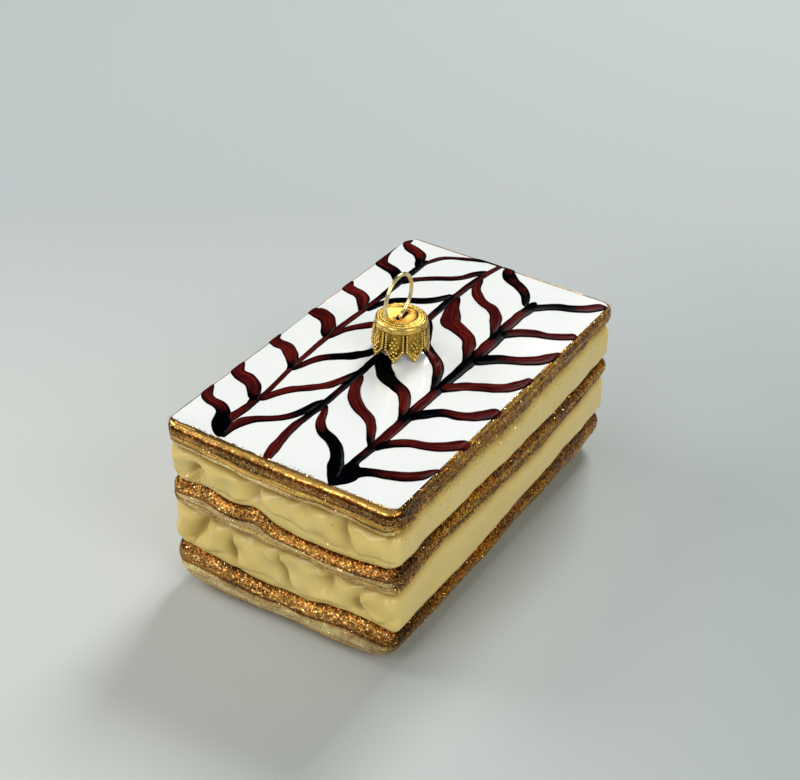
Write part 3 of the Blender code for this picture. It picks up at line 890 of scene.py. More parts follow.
INNER_RIGHT_ROW: tuple[Stations, ...] = (
    ((-3.5, -25.4, 0.9, .9), (-2.9, -26.6, 1.3, .6), (-2.2, -28.05, 1.6, .3), (-1.1, -30.8, 2.0, .2),
     (0.5, -32.9, 2.4, .4), (2.45, -34.2, 2.8, .9), (4.4, -35.0, 2.8, 1.), (6.3, -36.4, 2.8, .9),
     (8.3, -38.9, 2.8, .8), (9.9, -41.7, 3.4, 1.), (11.3, -44.4, 2.8, 1.), (12.2, -47.3, 0.5, 1.)),
    ((-3.6, -11.7, 0.9, .9), (-3.0, -13.4, 1.6, .3), (-2.2, -16.4, 2.4, .0), (-0.5, -19.4, 2.9, .0),
     (1.1, -21.1, 3.0, .1), (3.0, -22.6, 2.9, .1), (5.2, -23.6, 2.7, .2), (6.9, -24.9, 2.4, .2),
     (8.55, -26.9, 2.1, .2), (9.9, -29.2, 1.9, .4), (11.2, -31.4, 1.3, 1.),
     (12.1, -33.0, 1.0, 1.)),
    ((-4.4, -1.8, 1.2, 1.), (-2.9, -4.2, 3.4, 1.), (-0.9, -7.2, 3.8, 1.), (1.9, -10.0, 3.9, 1.),
     (4.7, -11.1, 3.4, .7), (7.2, -12.5, 3.0, .3), (9.1, -15.0, 2.6, .1), (10.6, -17.8, 2.1, .3),
     (11.5, -20.4, 1.2, 1.), (12.3, -22.4, 0.8, 1.)),
    ((-3.4, 16.2, 1.0, 1.), (-1.9, 13.0, 2.2, .9), (-0.3, 9.3, 2.6, .9), (1.1, 6.4, 2.8, 1.),
     (3.3, 4.2, 2.9, .6), (5.5, 2.8, 2.9, .2), (7.7, 0.8, 2.7, .2), (9.1, -1.1, 2.5, .4),
     (10.5, -4.4, 2.0, .8), (11.4, -7.0, 1.4, 1.), (12.2, -9.2, 0.8, 1.)),
    ((-3.1, 29.0, 0.9, .9), (-2.7, 27.4, 1.8, .6), (-1.9, 24.4, 3.0, .2), (-0.5, 21.1, 4.2, .1),
     (1.05, 18.05, 4.8, .1), (3.55, 16.7, 4.3, .0), (6.05, 15.4, 3.7, .0), (8.3, 13.6, 3.3, .0),
     (9.9, 10.6, 2.9, .1), (11.2, 7.6, 2.0, .6), (11.7, 5.7, 1.2, 1.), (12.3, 3.8, 0.8, 1.)),
    ((-3.0, 39.6, 0.9, .8), (-2.6, 38.3, 1.6, .5), (-1.9, 35.3, 2.2, .2), (-0.3, 32.8, 2.6, .2),
     (1.6, 30.8, 2.7, .1), (3.8, 29.4, 2.8, .2), (5.8, 28.75, 2.9, .1), (7.7, 26.9, 2.9, .1),
     (9.5, 23.9, 2.8, .1), (10.8, 20.8, 2.0, .4), (11.5, 18.6, 1.2, .9), (12.2, 16.6, 0.8, .9)),
    ((-1.5, 48.2, 1.2, .6), (0.3, 48.0, 2.2, .5), (1.05, 46.1, 3.0, .4), (2.4, 44.2, 3.6, .8),
     (4.1, 42.8, 3.4, .5), (6.05, 41.7, 3.0, .6), (8.0, 40.3, 2.8, .5), (9.7, 38.05, 2.2, .8),
     (10.9, 35.8, 1.8, .9), (11.75, 34.2, 1.2, 1.)),
)

RIGHT_ROW: tuple[Stations, ...] = (
    ((12.9, -44.6, 1.6, 1.), (13.6, -42.8, 2.8, 1.), (14.6, -40.7, 3.1, 1.), (16.9, -39.3, 2.5, .6),
     (19.7, -38.3, 2.8, .4), (22.4, -37.1, 3.0, .3), (24.9, -35.0, 2.8, .2), (26.3, -32.5, 1.6, .3),
     (27.1, -31.0, 0.6, .3)),
    ((12.8, -33.0, 1.4, 1.), (13.7, -30.8, 2.3, .9), (15.5, -28.6, 2.7, .4), (17.7, -26.9, 2.7, .2),
     (20.2, -26.1, 2.7, .2), (22.4, -25.1, 2.9, .1), (24.8, -23.3, 3.2, .1), (26.6, -21.4, 3.2, .2),
     (27.7, -19.9, 2.2, .2)),
    ((13.0, -20.2, 1.6, 1.), (14.0, -17.9, 2.8, 1.), (16.05, -15.55, 2.9, .9), (18.3, -13.9, 2.9, .6),
     (20.8, -13.2, 3.0, .3), (23.3, -11.9, 3.1, .2), (25.2, -10.0, 3.5, .2), (27.0, -7.6, 3.2, .2),
     (28.0, -6.2, 2.0, .2)),
    ((13.0, -7.8, 1.8, 1.), (14.0, -5.7, 3.0, .3), (16.3, -3.4, 3.0, .1), (18.8, -1.7, 3.1, .1),
     (22.2, 0.0, 3.2, .1), (24.4, 1.7, 3.2, .1), (26.05, 4.4, 2.8, .2), (27.3, 7.8, 1.6, .3)),
    ((13.4, 5.6, 2.4, 1.), (14.7, 8.0, 3.9, 1.), (17.2, 10.2, 3.7, .7), (19.9, 11.8, 3.4, .4),
     (22.7, 13.3, 3.4, .2), (25.2, 15.8, 3.6, .2), (26.9, 18.6, 2.8, .3), (27.8, 21.2, 1.2, .4)),
    ((13.0, 18.6, 1.8, 1.), (14.1, 20.8, 3.1, .6), (16.3, 23.05, 3.2, .2), (19.1, 24.6, 3.2, .2),
     (21.9, 25.4, 2.6, .1), (24.4, 26.7, 2.8, .1), (27.0, 28.5, 2.8, .2), (27.9, 29.1, 2.4, .3)),
    ((12.8, 32.6, 1.4, 1.), (13.7, 34.3, 2.6, 1.), (15.8, 36.7, 2.8, .9), (18.3, 38.5, 3.0, 1.),
     (20.8, 39.4, 3.0, .8), (23.3, 40.8, 3.2, .3), (25.4, 42.8, 3.4, .3), (26.9, 44.5, 2.8, .4),
     (27.3, 45.2, 1.8, .5)),
)


@dataclass
class Feathering:
    """The dark icing lines: rounded ribbons of thick paint on the icing."""

    skin: GlassSkin
    lift: float = 0.22           # of a wide stroke's crown over the icing
    sunk: float = 0.08           # of its underside into the icing
    spacing: float = 0.35        # between rings along a stroke
    sides: int = 20
    order_lift: float = 0.012    # each row lies this much over the one before
    stop_at: float = 27.8        # across, where the strokes run out at the gold border

    def stroke(self, stations: Stations, seed: int, raised: float) -> Sheet:
        """Make one brush stroke.

        Args:
            stations: places across and along, widths and darknesses.
            seed: picks the unevenness of its edges.
            raised: extra height.

        Returns:
            A closed ribbon. Round its section, with angle a, it lies at cos(a) * half width across
            and at sin(a)^0.7 * lift above the icing or sin(a) * sunk below it.
        """
        rows = smooth_path(np.array(stations), self.spacing)
        rows = rows[rows[:, 0] < self.stop_at]
        middle, width, dark = rows[:, :2], np.clip(rows[:, 2], 0.25, None), np.clip(rows[:, 3], 0.0, 1.0)
        along = np.gradient(middle, axis=0)
        along /= np.linalg.norm(along, axis=1, keepdims=True)
        across = np.stack((along[:, 1], -along[:, 0]), axis=1)
        angle = TAU * np.arange(self.sides) / self.sides
        share = np.cos(angle)
        walked = np.concatenate(([0.0], np.cumsum(np.linalg.norm(np.diff(middle, axis=0), axis=1))))
        from_end = np.minimum(walked, walked[-1] - walked) / (0.4 * np.maximum(width, 0.8))
        rounding = np.sqrt(np.clip(1.0 - (1.0 - np.clip(from_end, 0.0, 1.0)) ** 2, 0.02, 1.0))
        half = 0.5 * (width * rounding)[:, None] * np.ones(self.sides)
        edge = (middle[:, None] + across[:, None] * (share * half)[..., None])
        half = half * (1.0 + 0.03 * ripple(edge, 4.5, seed))
        plan = middle[:, None] + across[:, None] * (share * half)[..., None]
        limit_x = 0.5 * self.skin.form.width - 0.35
        limit_y = 0.5 * self.skin.form.length - 0.25
        plan[..., 0] = np.clip(plan[..., 0], -limit_x, limit_x)
        plan[..., 1] = np.clip(plan[..., 1], -limit_y, limit_y)
        crown = self.lift * (rounding * np.clip(width / 2.4, 0.45, 1.2))[:, None]
        crown = crown * fade(plan[..., 0], limit_x - 0.5, limit_x + 0.1)
        rise = np.where(np.sin(angle) >= 0.0, np.abs(np.sin(angle)) ** 0.7 * crown,
                        np.sin(angle) * self.sunk) + raised
        points = np.concatenate((plan, (self.skin.top_height(plan[..., 0], plan[..., 1]) + rise)[..., None]), axis=-1)
        count = len(rows)
        ends = points[[0, -1]].mean(axis=1)
        ring = np.arange(self.sides)
        after = (ring + 1) % self.sides
        first, last, bottom = count * self.sides, count * self.sides + 1, (count - 1) * self.sides
        fans = np.vstack((np.stack((np.full(self.sides, first), after, ring), axis=1),
                          np.stack((np.full(self.sides, last), bottom + ring, bottom + after), axis=1)))
        flat = np.concatenate((np.broadcast_to(dark[:, None], (count, self.sides)).ravel(), dark[[0, -1]]))
        from_middle = np.concatenate((np.tile(share, count), [0.0, 0.0]))
        length = np.concatenate((np.repeat(walked, self.sides), walked[[0, -1]]))
        values = {"dark": flat, "across": from_middle, "along": length + 37.0 * seed}
        return Sheet(np.vstack((points.reshape(-1, 3), ends)), grid_faces(count, self.sides, True),
                     fans[:, ::-1], None, values)

    def sheet(self) -> Sheet:
        """Make all strokes, row after row, the spines first."""
        rows = (SPINES, LEFT_ROW, INNER_LEFT_ROW, INNER_RIGHT_ROW, RIGHT_ROW)
        strokes = []
        for number, row in enumerate(rows):
            for k, stations in enumerate(row):
                strokes.append(self.stroke(stations, 10 * number + k, self.order_lift * number))
        return joined(strokes)


# --------------------------------------------------------------------------------------------
# Glitter
# --------------------------------------------------------------------------------------------

@dataclass(frozen=True)
class GlitterZone:
    """A stretch of the skin that glitter sticks to."""

    layer: Layer
    top: float                   # share of the layer's height where it starts
    bottom: float                # and where it ends
    on_ends: bool                # on the two ends, or on the long sides
    per_square_mm: float
    bright: bool = False         # whether only bright flakes stick there


@dataclass
class Glitter:
    """Loose flakes, scattered on the skin and tilted a little from its surface."""

    skin: GlassSkin
    zones: tuple[GlitterZone, ...]
    on_border: bool = False      # whether some lie along the white's border as well
    sizes: tuple[float, float] = (0.06, 0.13)
    tilt: float = 0.6
    corners: int = 6
    palette: tuple[tuple[Colour, float], ...] = (
        ((0.84, 0.52, 0.14, 1.0), 0.30),
        ((0.92, 0.72, 0.34, 1.0), 0.26),
        ((1.00, 0.90, 0.60, 1.0), 0.07),
        ((0.85, 0.36, 0.06, 1.0), 0.06),
        ((0.66, 0.80, 0.40, 1.0), 0.06),
        ((0.20, 0.09, 0.02, 1.0), 0.25),
    )
    side_palette: tuple[tuple[Colour, float], ...] = (
        ((0.80, 0.42, 0.05, 1.0), 0.38),
        ((0.90, 0.60, 0.15, 1.0), 0.24),
        ((1.00, 0.86, 0.50, 1.0), 0.08),
        ((0.66, 0.80, 0.40, 1.0), 0.04),
        ((0.14, 0.05, 0.008, 1.0), 0.26),
    )
    border: tuple[float, float] = (-46.95, 27.45)        # the white's edge at the near end and the right side

    def _spots(self, zone: GlitterZone, draw: np.random.Generator) -> tuple[Array, Array]:
        """Draw places and outward directions of a zone's flakes.

        Args:
            zone: where they stick.
            draw: the seeded generator.

        Returns:
            Places and unit directions, one row each: picked in proportion to the area of the
            skin's quads, at a random share of the way along both sides of the quad.
        """
        rings, down = self.skin.rings, self.skin.down[:, 0]
        low, high = zone.layer.value + zone.top, zone.layer.value + zone.bottom
        rows = np.nonzero((down[:-1] >= low) & (down[:-1] < high))[0]
        corner = rings[rows]
        side = rings[rows + 1] - corner
        ahead = np.roll(corner, -1, axis=1) - corner
        square = np.linalg.norm(np.cross(side, ahead), axis=-1)
        weight = self.skin.on_end if zone.on_ends else 1.0 - self.skin.on_end
        area = square * weight
        count = int(area.sum() * zone.per_square_mm)
        picked = draw.choice(area.size, size=count, p=(area / area.sum()).ravel())
        row, column = np.divmod(picked, rings.shape[1])
        s, t = draw.random((2, count, 1))
        place = corner[row, column] + s * side[row, column] + t * ahead[row, column]
        normal = np.cross(side[row, column], ahead[row, column])
        return place, normal / np.linalg.norm(normal, axis=1, keepdims=True)

    def _border_spots(self, draw: np.random.Generator) -> tuple[Array, Array]:
        """Draw places of the flakes along the white's border on the icing.

        Args:
            draw: the seeded generator.

        Returns:
            Places scattered closely round the border's lines, and the upward direction.
        """
        front, right = self.border
        along = draw.uniform(-27.6, right, 260)
        aside = draw.uniform(front, 47.0, 420)
        x = np.concatenate((along, right + 0.009 * aside + 0.14 * draw.normal(size=420)))
        y = np.concatenate((front + 0.2 * draw.normal(size=260), aside))
        place = np.stack((x, y, self.skin.top_height(x, y)), axis=1)
        return place, np.broadcast_to((0.0, 0.0, 1.0), place.shape)

    def sheet(self, seed: int) -> Sheet:
        """Make all flakes of these zones.

        Args:
            seed: for the places, tilts, sizes and colours.

        Returns:
            Fans of flat triangles, with a colour per point: place + size (cos a * u + sin a * v),
            where u and v are square to a direction near the skin's own.
        """
        draw = np.random.default_rng(seed)
        spots = [self._spots(zone, draw) for zone in self.zones]
        bright = np.concatenate([np.full(len(spot), zone.bright) for zone, (spot, _) in zip(self.zones, spots)])
        if self.on_border:
            spots.append(self._border_spots(draw))
            bright = np.concatenate((bright, np.zeros(len(spots[-1][0]), bool)))
        place = np.vstack([spot for spot, _ in spots])
        normal = np.vstack([direction for _, direction in spots])
        count = len(place)
        facing = normal + self.tilt * draw.normal(size=(count, 3)) * draw.random((count, 1))
        facing /= np.linalg.norm(facing, axis=1, keepdims=True)
        u = np.cross(facing, draw.normal(size=(count, 3)))
        u /= np.linalg.norm(u, axis=1, keepdims=True)
        v = np.cross(facing, u)
        size = draw.uniform(*self.sizes, (count, 1, 1))
        angle = TAU * np.arange(self.corners) / self.corners
        ring = (np.cos(angle)[None, :, None] * u[:, None] + np.sin(angle)[None, :, None] * v[:, None]) * size
        points = (place + 0.07 * normal)[:, None] + ring
        palette = self.palette if self.on_border else self.side_palette
        shares = np.array([share for _, share in palette])
        kind = draw.choice(len(shares), size=count, p=shares / shares.sum())
        kind[bright & (kind == len(shares) - 1)] = 2     # the palest in place of the dark one
        colour = np.array([tone for tone, _ in palette])[kind]
        colour[:, :3] *= draw.uniform(0.7, 1.15, (count, 1))
        fan = np.stack((np.zeros(self.corners - 2, int), np.arange(1, self.corners - 1),
                        np.arange(2, self.corners)), axis=1)
        triangles = (np.arange(count)[:, None, None] * self.corners + fan).reshape(-1, 3)
        return Sheet(points.reshape(-1, 3), triangles=triangles,
                     colours={"tint": np.repeat(np.clip(colour, 0.0, 1.0), self.corners, axis=0)})


# --------------------------------------------------------------------------------------------
# The cap and the loop
# --------------------------------------------------------------------------------------------

@dataclass
class StampedCap:
    """The metal cap: a beaded crown over eight beaded petals, with a slot across its dish."""

    seat: NeckSeat
    gap: float = 0.4
    petals: int = 8
    petal_turn: float = math.radians(18.0)
    profile: tuple[tuple[float, float], ...] = (
        (6.25, 0.0), (6.2, 2.6), (6.04, 5.0), (5.86, 7.0), (5.78, 7.5), (5.76, 7.95), (5.66, 8.3),
        (5.42, 8.52), (5.0, 8.66), (4.4, 8.78), (3.8, 8.88), (3.45, 8.84), (3.15, 8.66), (2.5, 8.58), (1.6, 8.56))
    wall: float = 0.35
    collar: float = 7.25         # height where the petals part
    point_height: float = 3.1    # of a petal's pointed tip
    slit_width: float = 0.26
    bead: float = 0.235          # radius of a raised bead
    bead_height: float = 0.25
    bead_pitch: float = 0.60
    bead_rows: tuple[float, ...] = (5.08, 4.48, 3.88)    # radii of the crown's rows of beads
    fine_bead: float = 0.19      # radius, height and pitch of the crown's beads
    fine_height: float = 0.19
    fine_pitch: float = 0.44
    columns: int = 58            # across one petal
    rows: int = 80               # down one petal
    crown_rows: int = 76
    slot_half: tuple[float, float] = (0.85, 2.9)

    def outer(self, reach: Array) -> tuple[Array, Array]:
        """Read the turned outside of the cap.

        Args:
            reach: distance along the profile from the tips' level up and in.

        Returns:
            Radii and heights there, on a smooth curve through the profile.
        """
        line = smooth_path(np.array(self.profile), 0.1)
        length = np.concatenate(([0.0], np.cumsum(np.linalg.norm(np.diff(line, axis=0), axis=1))))
        return np.interp(reach, length, line[:, 0]), np.interp(reach, length, line[:, 1])

    def reach_at(self, height: float) -> float:
        """Distance along the profile at which its wall first reaches a height."""
        reach = np.linspace(0.0, 12.0, 600)
        return float(reach[np.argmax(self.outer(reach)[1] >= height)])

    def surface(self, angle: Array, reach: Array, raised: Array) -> Array:
        """Places on the cap, lifted square to its turned outside.

        Args:
            angle: direction round the axis.
            reach: distance along the profile.
            raised: lift over the plain outside.

        Returns:
            Places about the seat.
        """
        radius, height = self.outer(reach)
        ahead_r, ahead_h = self.outer(reach + 0.05)
        run = np.stack((ahead_r - radius, ahead_h - height), axis=-1)
        run /= np.maximum(np.linalg.norm(run, axis=-1, keepdims=True), 1e-9)
        radius = radius + raised * run[..., 1]
        height = height - raised * run[..., 0] + self.gap
        return np.stack((radius * np.cos(angle), radius * np.sin(angle), height), axis=-1)

    def beads(self, across: Array, up: Array, spots: Array) -> Array:
        """Relief of round beads on an unrolled surface.

        Args:
            across: places across it.
            up: places up it.
            spots: the beads' middles, one row each.

        Returns:
            bead_height * sqrt(1 - (distance / bead)^2) over the nearest bead, nothing elsewhere.
        """
        square = np.full(across.shape, np.inf)
        for x, y in spots:
            square = np.minimum(square, (across - x) ** 2 + (up - y) ** 2)
        return self.bead_height * np.sqrt(np.clip(1.0 - square / self.bead ** 2, 0.0, None))

    def petal_spots(self, half: float, top: float) -> Array:
        """Middles of one petal's beads: both edges, the point and a few inside.

        Args:
            half: half the petal's width.
            top: how high its beads begin.

        Returns:
            Places across and up from the tip's level.
        """
        inset, pitch = 0.30, self.bead_pitch
        ups = np.arange(self.point_height, top, pitch)
        edges = [(side * (half - inset), up) for up in ups for side in (-1.0, 1.0)]
        count = 6
        shares = (np.arange(count) + 0.4) / count
        point = [(side * (half - inset) * share, 0.45 + (self.point_height - 0.3) * share)
                 for share in shares for side in (-1.0, 1.0)]
        inner = [(0.0, top - 0.9), (-0.45, top - 1.9), (0.5, top - 1.8), (-0.9, top - 2.6), (0.05, top - 2.5),
                 (0.85, top - 2.9), (-0.5, top - 3.3), (0.35, top - 3.4), (-0.1, top - 4.2), (0.5, top - 4.3),
                 (-0.6, top - 4.6), (0.0, 2.0), (0.35, 1.5), (-0.1, 1.1)]
        return np.array(edges + point + inner)

    def sheet(self) -> Sheet:
        """Make the cap's skin, to be given its wall by a modifier.

        Returns:
            One petal's grid turned eight times, and the crown's rings joined to them. A petal's
            grid narrows to its point at the bottom and is parted from the next by a slit.
        """
        top_reach = self.reach_at(self.collar)
        pitch = TAU / self.petals
        across = np.linspace(-1.0, 1.0, self.columns)
        up = np.linspace(0.0, 1.0, self.rows)
        across, up = np.meshgrid(across, up)
        bottom = self.point_height * np.abs(across) ** 1.1
        reach = bottom + (top_reach - bottom) * up
        radius = self.outer(reach)[0]
        slit = 0.5 * self.slit_width * np.clip((top_reach - 0.15 - reach) / 0.25, 0.0, 1.0)
        half = 0.5 * pitch * radius - slit
        flat = across * half
        wide = 0.5 * pitch * 6.1 - 0.5 * self.slit_width
        spots = self.petal_spots(wide, top_reach - 0.2)
        relief = self.beads(flat * wide / half, reach, spots)
        rounding = 0.12 * (1.0 - np.clip((1.0 - np.abs(across)) * half / 0.3, 0.0, 1.0)) ** 2
        sheets = []
        raised = [np.tile(relief.ravel(), self.petals)]
        for k in range(self.petals):
            angle = flat / radius + k * pitch + self.petal_turn
            sheets.append(self.surface(angle, reach, relief - rounding))
        ring_count = self.petals * (self.columns - 1)
        angle = (np.arange(ring_count) / (self.columns - 1) - 0.5) * pitch + self.petal_turn
        total = self._crown_reach(self.profile[-1][0])
        reach = np.linspace(top_reach, total, self.crown_rows)
        angle, reach = np.meshgrid(angle, reach)
        crown_relief = np.zeros_like(reach)
        for radius_line in self.bead_rows:
            count = round(TAU * radius_line / self.fine_pitch)
            at = self._crown_reach(radius_line)
            turn = angle * count / TAU
            offset = (turn - np.round(turn)) * TAU / count * radius_line
            square = offset ** 2 + (reach - at) ** 2
            row = self.fine_height * np.sqrt(np.clip(1.0 - square / self.fine_bead ** 2, 0.0, None))
            crown_relief = np.maximum(crown_relief, row)
        crown = self.surface(angle, reach, crown_relief)
        inner = fade(crown[..., 0] ** 2 + crown[..., 1] ** 2, 3.2 ** 2, 3.5 ** 2)
        shoulder = fade(reach, self._crown_reach(5.3), self._crown_reach(5.1))
        # the dish and the shoulder count as raised, so the painted shade between the beads stays off them
        raised.append((crown_relief + 0.5 * self.bead_height * np.maximum(inner, shoulder))[1:].ravel())
        dish = np.concatenate((np.zeros(self.petals * self.rows * self.columns), inner[1:].ravel()))
        crown = self._open_slot(crown)
        points = [sheet.reshape(-1, 3) for sheet in sheets]
        size = self.rows * self.columns
        quads = [grid_faces(self.rows, self.columns, False) + k * size for k in range(self.petals)]
        # the crown's first ring is the petals' top rows
        crown_start = self.petals * size
        points.append(crown[1:].reshape(-1, 3))
        crown_quads = grid_faces(self.crown_rows, ring_count, True)
        petal, column = np.divmod(np.arange(ring_count), self.columns - 1)
        first_ring = petal * size + (self.rows - 1) * self.columns + column
        lookup = np.concatenate((first_ring, crown_start + np.arange((self.crown_rows - 1) * ring_count)))
        quads.append(lookup[crown_quads])
        values = {"raised": np.concatenate(raised) / self.bead_height, "dish": dish}
        return Sheet(self.seat.place(np.vstack(points)), np.vstack(quads)[:, ::-1], values=values)

    def _crown_reach(self, radius: float) -> float:
        """Distance along the profile at which its crown has come in to a radius."""
        reach = np.linspace(7.5, 13.5, 800)
        return float(reach[np.argmax(self.outer(reach)[0] <= radius)])

    def _open_slot(self, crown: Array) -> Array:
        """Bring the crown's last ring to the slot's edge and let those before it follow.

        Args:
            crown: the crown's rings.

        Returns:
            The rings, with the inner ones mixed from circles towards the slot's rounded oblong.
        """
        inner = crown[-1]
        angle = np.arctan2(inner[:, 1], inner[:, 0])
        half_x, half_y = self.slot_half
        stretch = 1.0 / ((np.abs(np.cos(angle)) / half_x) ** 6 + (np.abs(np.sin(angle)) / half_y) ** 6) ** (1.0 / 6.0)
        slot = np.stack((stretch * np.cos(angle), stretch * np.sin(angle), inner[:, 2]), axis=1)
        radius = np.hypot(crown[..., 0], crown[..., 1])[..., None]
        share = np.clip((3.3 - radius) / (3.3 - radius[-1].min()), 0.0, 1.0)
        return crown + (slot - crown) * share


@dataclass
class HangerLoop:
    """The wire: a round eye over the cap's dish, with two legs down through its slot."""

    seat: NeckSeat
    dish: float = 8.6            # height of the dish
    wire: float = 0.425
    offset: float = -1.5         # along Y, from the cap's middle
    eye_radius: float = 5.15
    eye_rise: float = 5.75
    leg_half: float = 1.0
    foot_half: float = 1.3
    foot_depth: float = 7.0
    bend: float = 0.9
    sides: int = 20

    def path(self) -> Array:
        """The wire's middle line, from one leg's end round the eye to the other's.

        Returns:
            Places about the seat: an upright leg that spreads downwards by a squared sine, a bend
            tangent to it and to the eye's circle, and the circle up to its top; then the same back.
        """
        side = self.leg_half + self.bend
        meeting = math.asin(side / (self.eye_radius + self.bend))
        bend_z = self.eye_rise - (self.eye_radius + self.bend) * math.cos(meeting)
        fall = np.linspace(1.0, 0.0, 24, endpoint=False)
        leg = (self.leg_half + (self.foot_half - self.leg_half) * np.sin(0.5 * math.pi * fall) ** 2,
               bend_z - (self.foot_depth + bend_z) * fall)
        turn = np.linspace(math.pi, 0.5 * math.pi + meeting, 10, endpoint=False)
        corner = (side + self.bend * np.cos(turn), bend_z + self.bend * np.sin(turn))
        around = np.linspace(meeting, math.pi, 60)
        eye = (self.eye_radius * np.sin(around), self.eye_rise - self.eye_radius * np.cos(around))
        y, z = (np.concatenate(parts) for parts in zip(leg, corner, eye))
        y = np.concatenate((y, -y[-2::-1])) + self.offset
        z = np.concatenate((z, z[-2::-1])) + self.dish
        return np.stack((np.zeros_like(y), y, z), axis=1)

    def sheet(self) -> Sheet:
        """Make the wire, with its two cut ends slightly rounded off."""
        path = self.path()
        radius = np.full(len(path), self.wire)
        radius[[0, -1]] *= 0.8
        wire = tube(path, radius, self.sides)
        wire.points = self.seat.place(wire.points)
        return wire


# --------------------------------------------------------------------------------------------
# Finishes
# --------------------------------------------------------------------------------------------

class NodeBench:
    """A material and short ways to add and join its nodes."""

    def __init__(self, name: str) -> None:
        """Start a material with a Principled shader.

        Args:
            name: the material's name.
        """
        self.material = bpy.data.materials.new(name)
        self.material.use_nodes = True
        self.tree = self.material.node_tree
        self.shader = self.tree.nodes["Principled BSDF"]
        self.place = self.add("ShaderNodeTexCoord").outputs["Object"]

    def add(self, kind: str, **inputs: object) -> bpy.types.Node:
        """Add a node.

        Args:
            kind: its type.
            inputs: sockets by name with underscores for spaces, each a value or another socket;
                names in lower case set the node's own properties.

        Returns:
            The node.
        """
        node = self.tree.nodes.new(kind)
        for key, value in inputs.items():
            if key[0].islower():
                setattr(node, key, value)
                continue
            socket = node.inputs[int(key[1:])] if key[0] == "I" and key[1:].isdigit() else node.inputs[
                key.replace("_", " ")]
            self.feed(socket, value)
        return node

    def feed(self, socket: bpy.types.NodeSocket, value: object) -> None:
        """Join a socket to another, or set its value."""
        if isinstance(value, bpy.types.NodeSocket):
            self.tree.links.new(value, socket)
        else:
            socket.default_value = value

    def value(self, name: str) -> bpy.types.NodeSocket:
        """Read one of the mesh's named numbers."""
        return self.add("ShaderNodeAttribute", attribute_name=name).outputs["Fac"]

    def math(self, operation: str, *values: object) -> bpy.types.NodeSocket:
        """Add a math node.

        Args:
            operation: its operation.
            values: its inputs in order.

        Returns:
            Its result.
        """
        node = self.add("ShaderNodeMath", operation=operation)
        for socket, value in zip(node.inputs, values):
            self.feed(socket, value)
        return node.outputs[0]

    def noise(self, scale: float, detail: float = 3.0, rough: float = 0.55,
              at: bpy.types.NodeSocket | None = None) -> bpy.types.NodeSocket:
        """Noise from nothing to one, with a scale in patches per metre."""
        return self.add("ShaderNodeTexNoise", Vector=at or self.place, Scale=scale, Detail=detail,
                        Roughness=rough).outputs["Fac"]

    def ramp(self, at: bpy.types.NodeSocket, stops: tuple[tuple[float, Colour], ...],
             ease: str = "LINEAR") -> bpy.types.NodeSocket:
        """Turn a number into a colour along stops.

        Args:
            at: the number.
            stops: places and colours, in order.
            ease: how colours change between stops.

        Returns:
            The colour.
        """
        node = self.add("ShaderNodeValToRGB", Fac=at)
        band = node.color_ramp
        band.interpolation = ease
        band.elements[0].position, band.elements[0].color = stops[0]
        band.elements[1].position, band.elements[1].color = stops[-1]
        for position, colour in stops[1:-1]:
            band.elements.new(position).color = colour
        return node.outputs["Color"]

    def mix(self, share: object, first: object, second: object, kind: str = "MIX") -> bpy.types.NodeSocket:
        """Mix two colours.

        Args:
            share: how much of the second.
            first: a colour or its socket.
            second: a colour or its socket.
            kind: the blend.

        Returns:
            The mixed colour.
        """
        node = self.add("ShaderNodeMix", data_type="RGBA", blend_type=kind)
        for index, value in ((0, share), (6, first), (7, second)):
            self.feed(node.inputs[index], value)
        return node.outputs[2]

    def blend(self, share: object, first: object, second: object) -> bpy.types.NodeSocket:
        """Mix two numbers."""
        node = self.add("ShaderNodeMix", data_type="FLOAT")
        for index, value in ((0, share), (2, first), (3, second)):
            self.feed(node.inputs[index], value)
        return node.outputs[0]

    def bump(self, height: bpy.types.NodeSocket, distance: float, strength: float = 1.0,
             normal: bpy.types.NodeSocket | None = None) -> bpy.types.NodeSocket:
        """Bump from a height; the distance is in metres."""
        node = self.add("ShaderNodeBump", Height=height, Distance=distance, Strength=strength)
        if normal is not None:
            self.feed(node.inputs["Normal"], normal)
        return node.outputs["Normal"]

    def dress(self, **inputs: object) -> bpy.types.Material:
        """Feed the shader's sockets and return the material."""
        for key, value in inputs.items():
            self.feed(self.shader.inputs[key.replace("_", " ")], value)
        return self.material


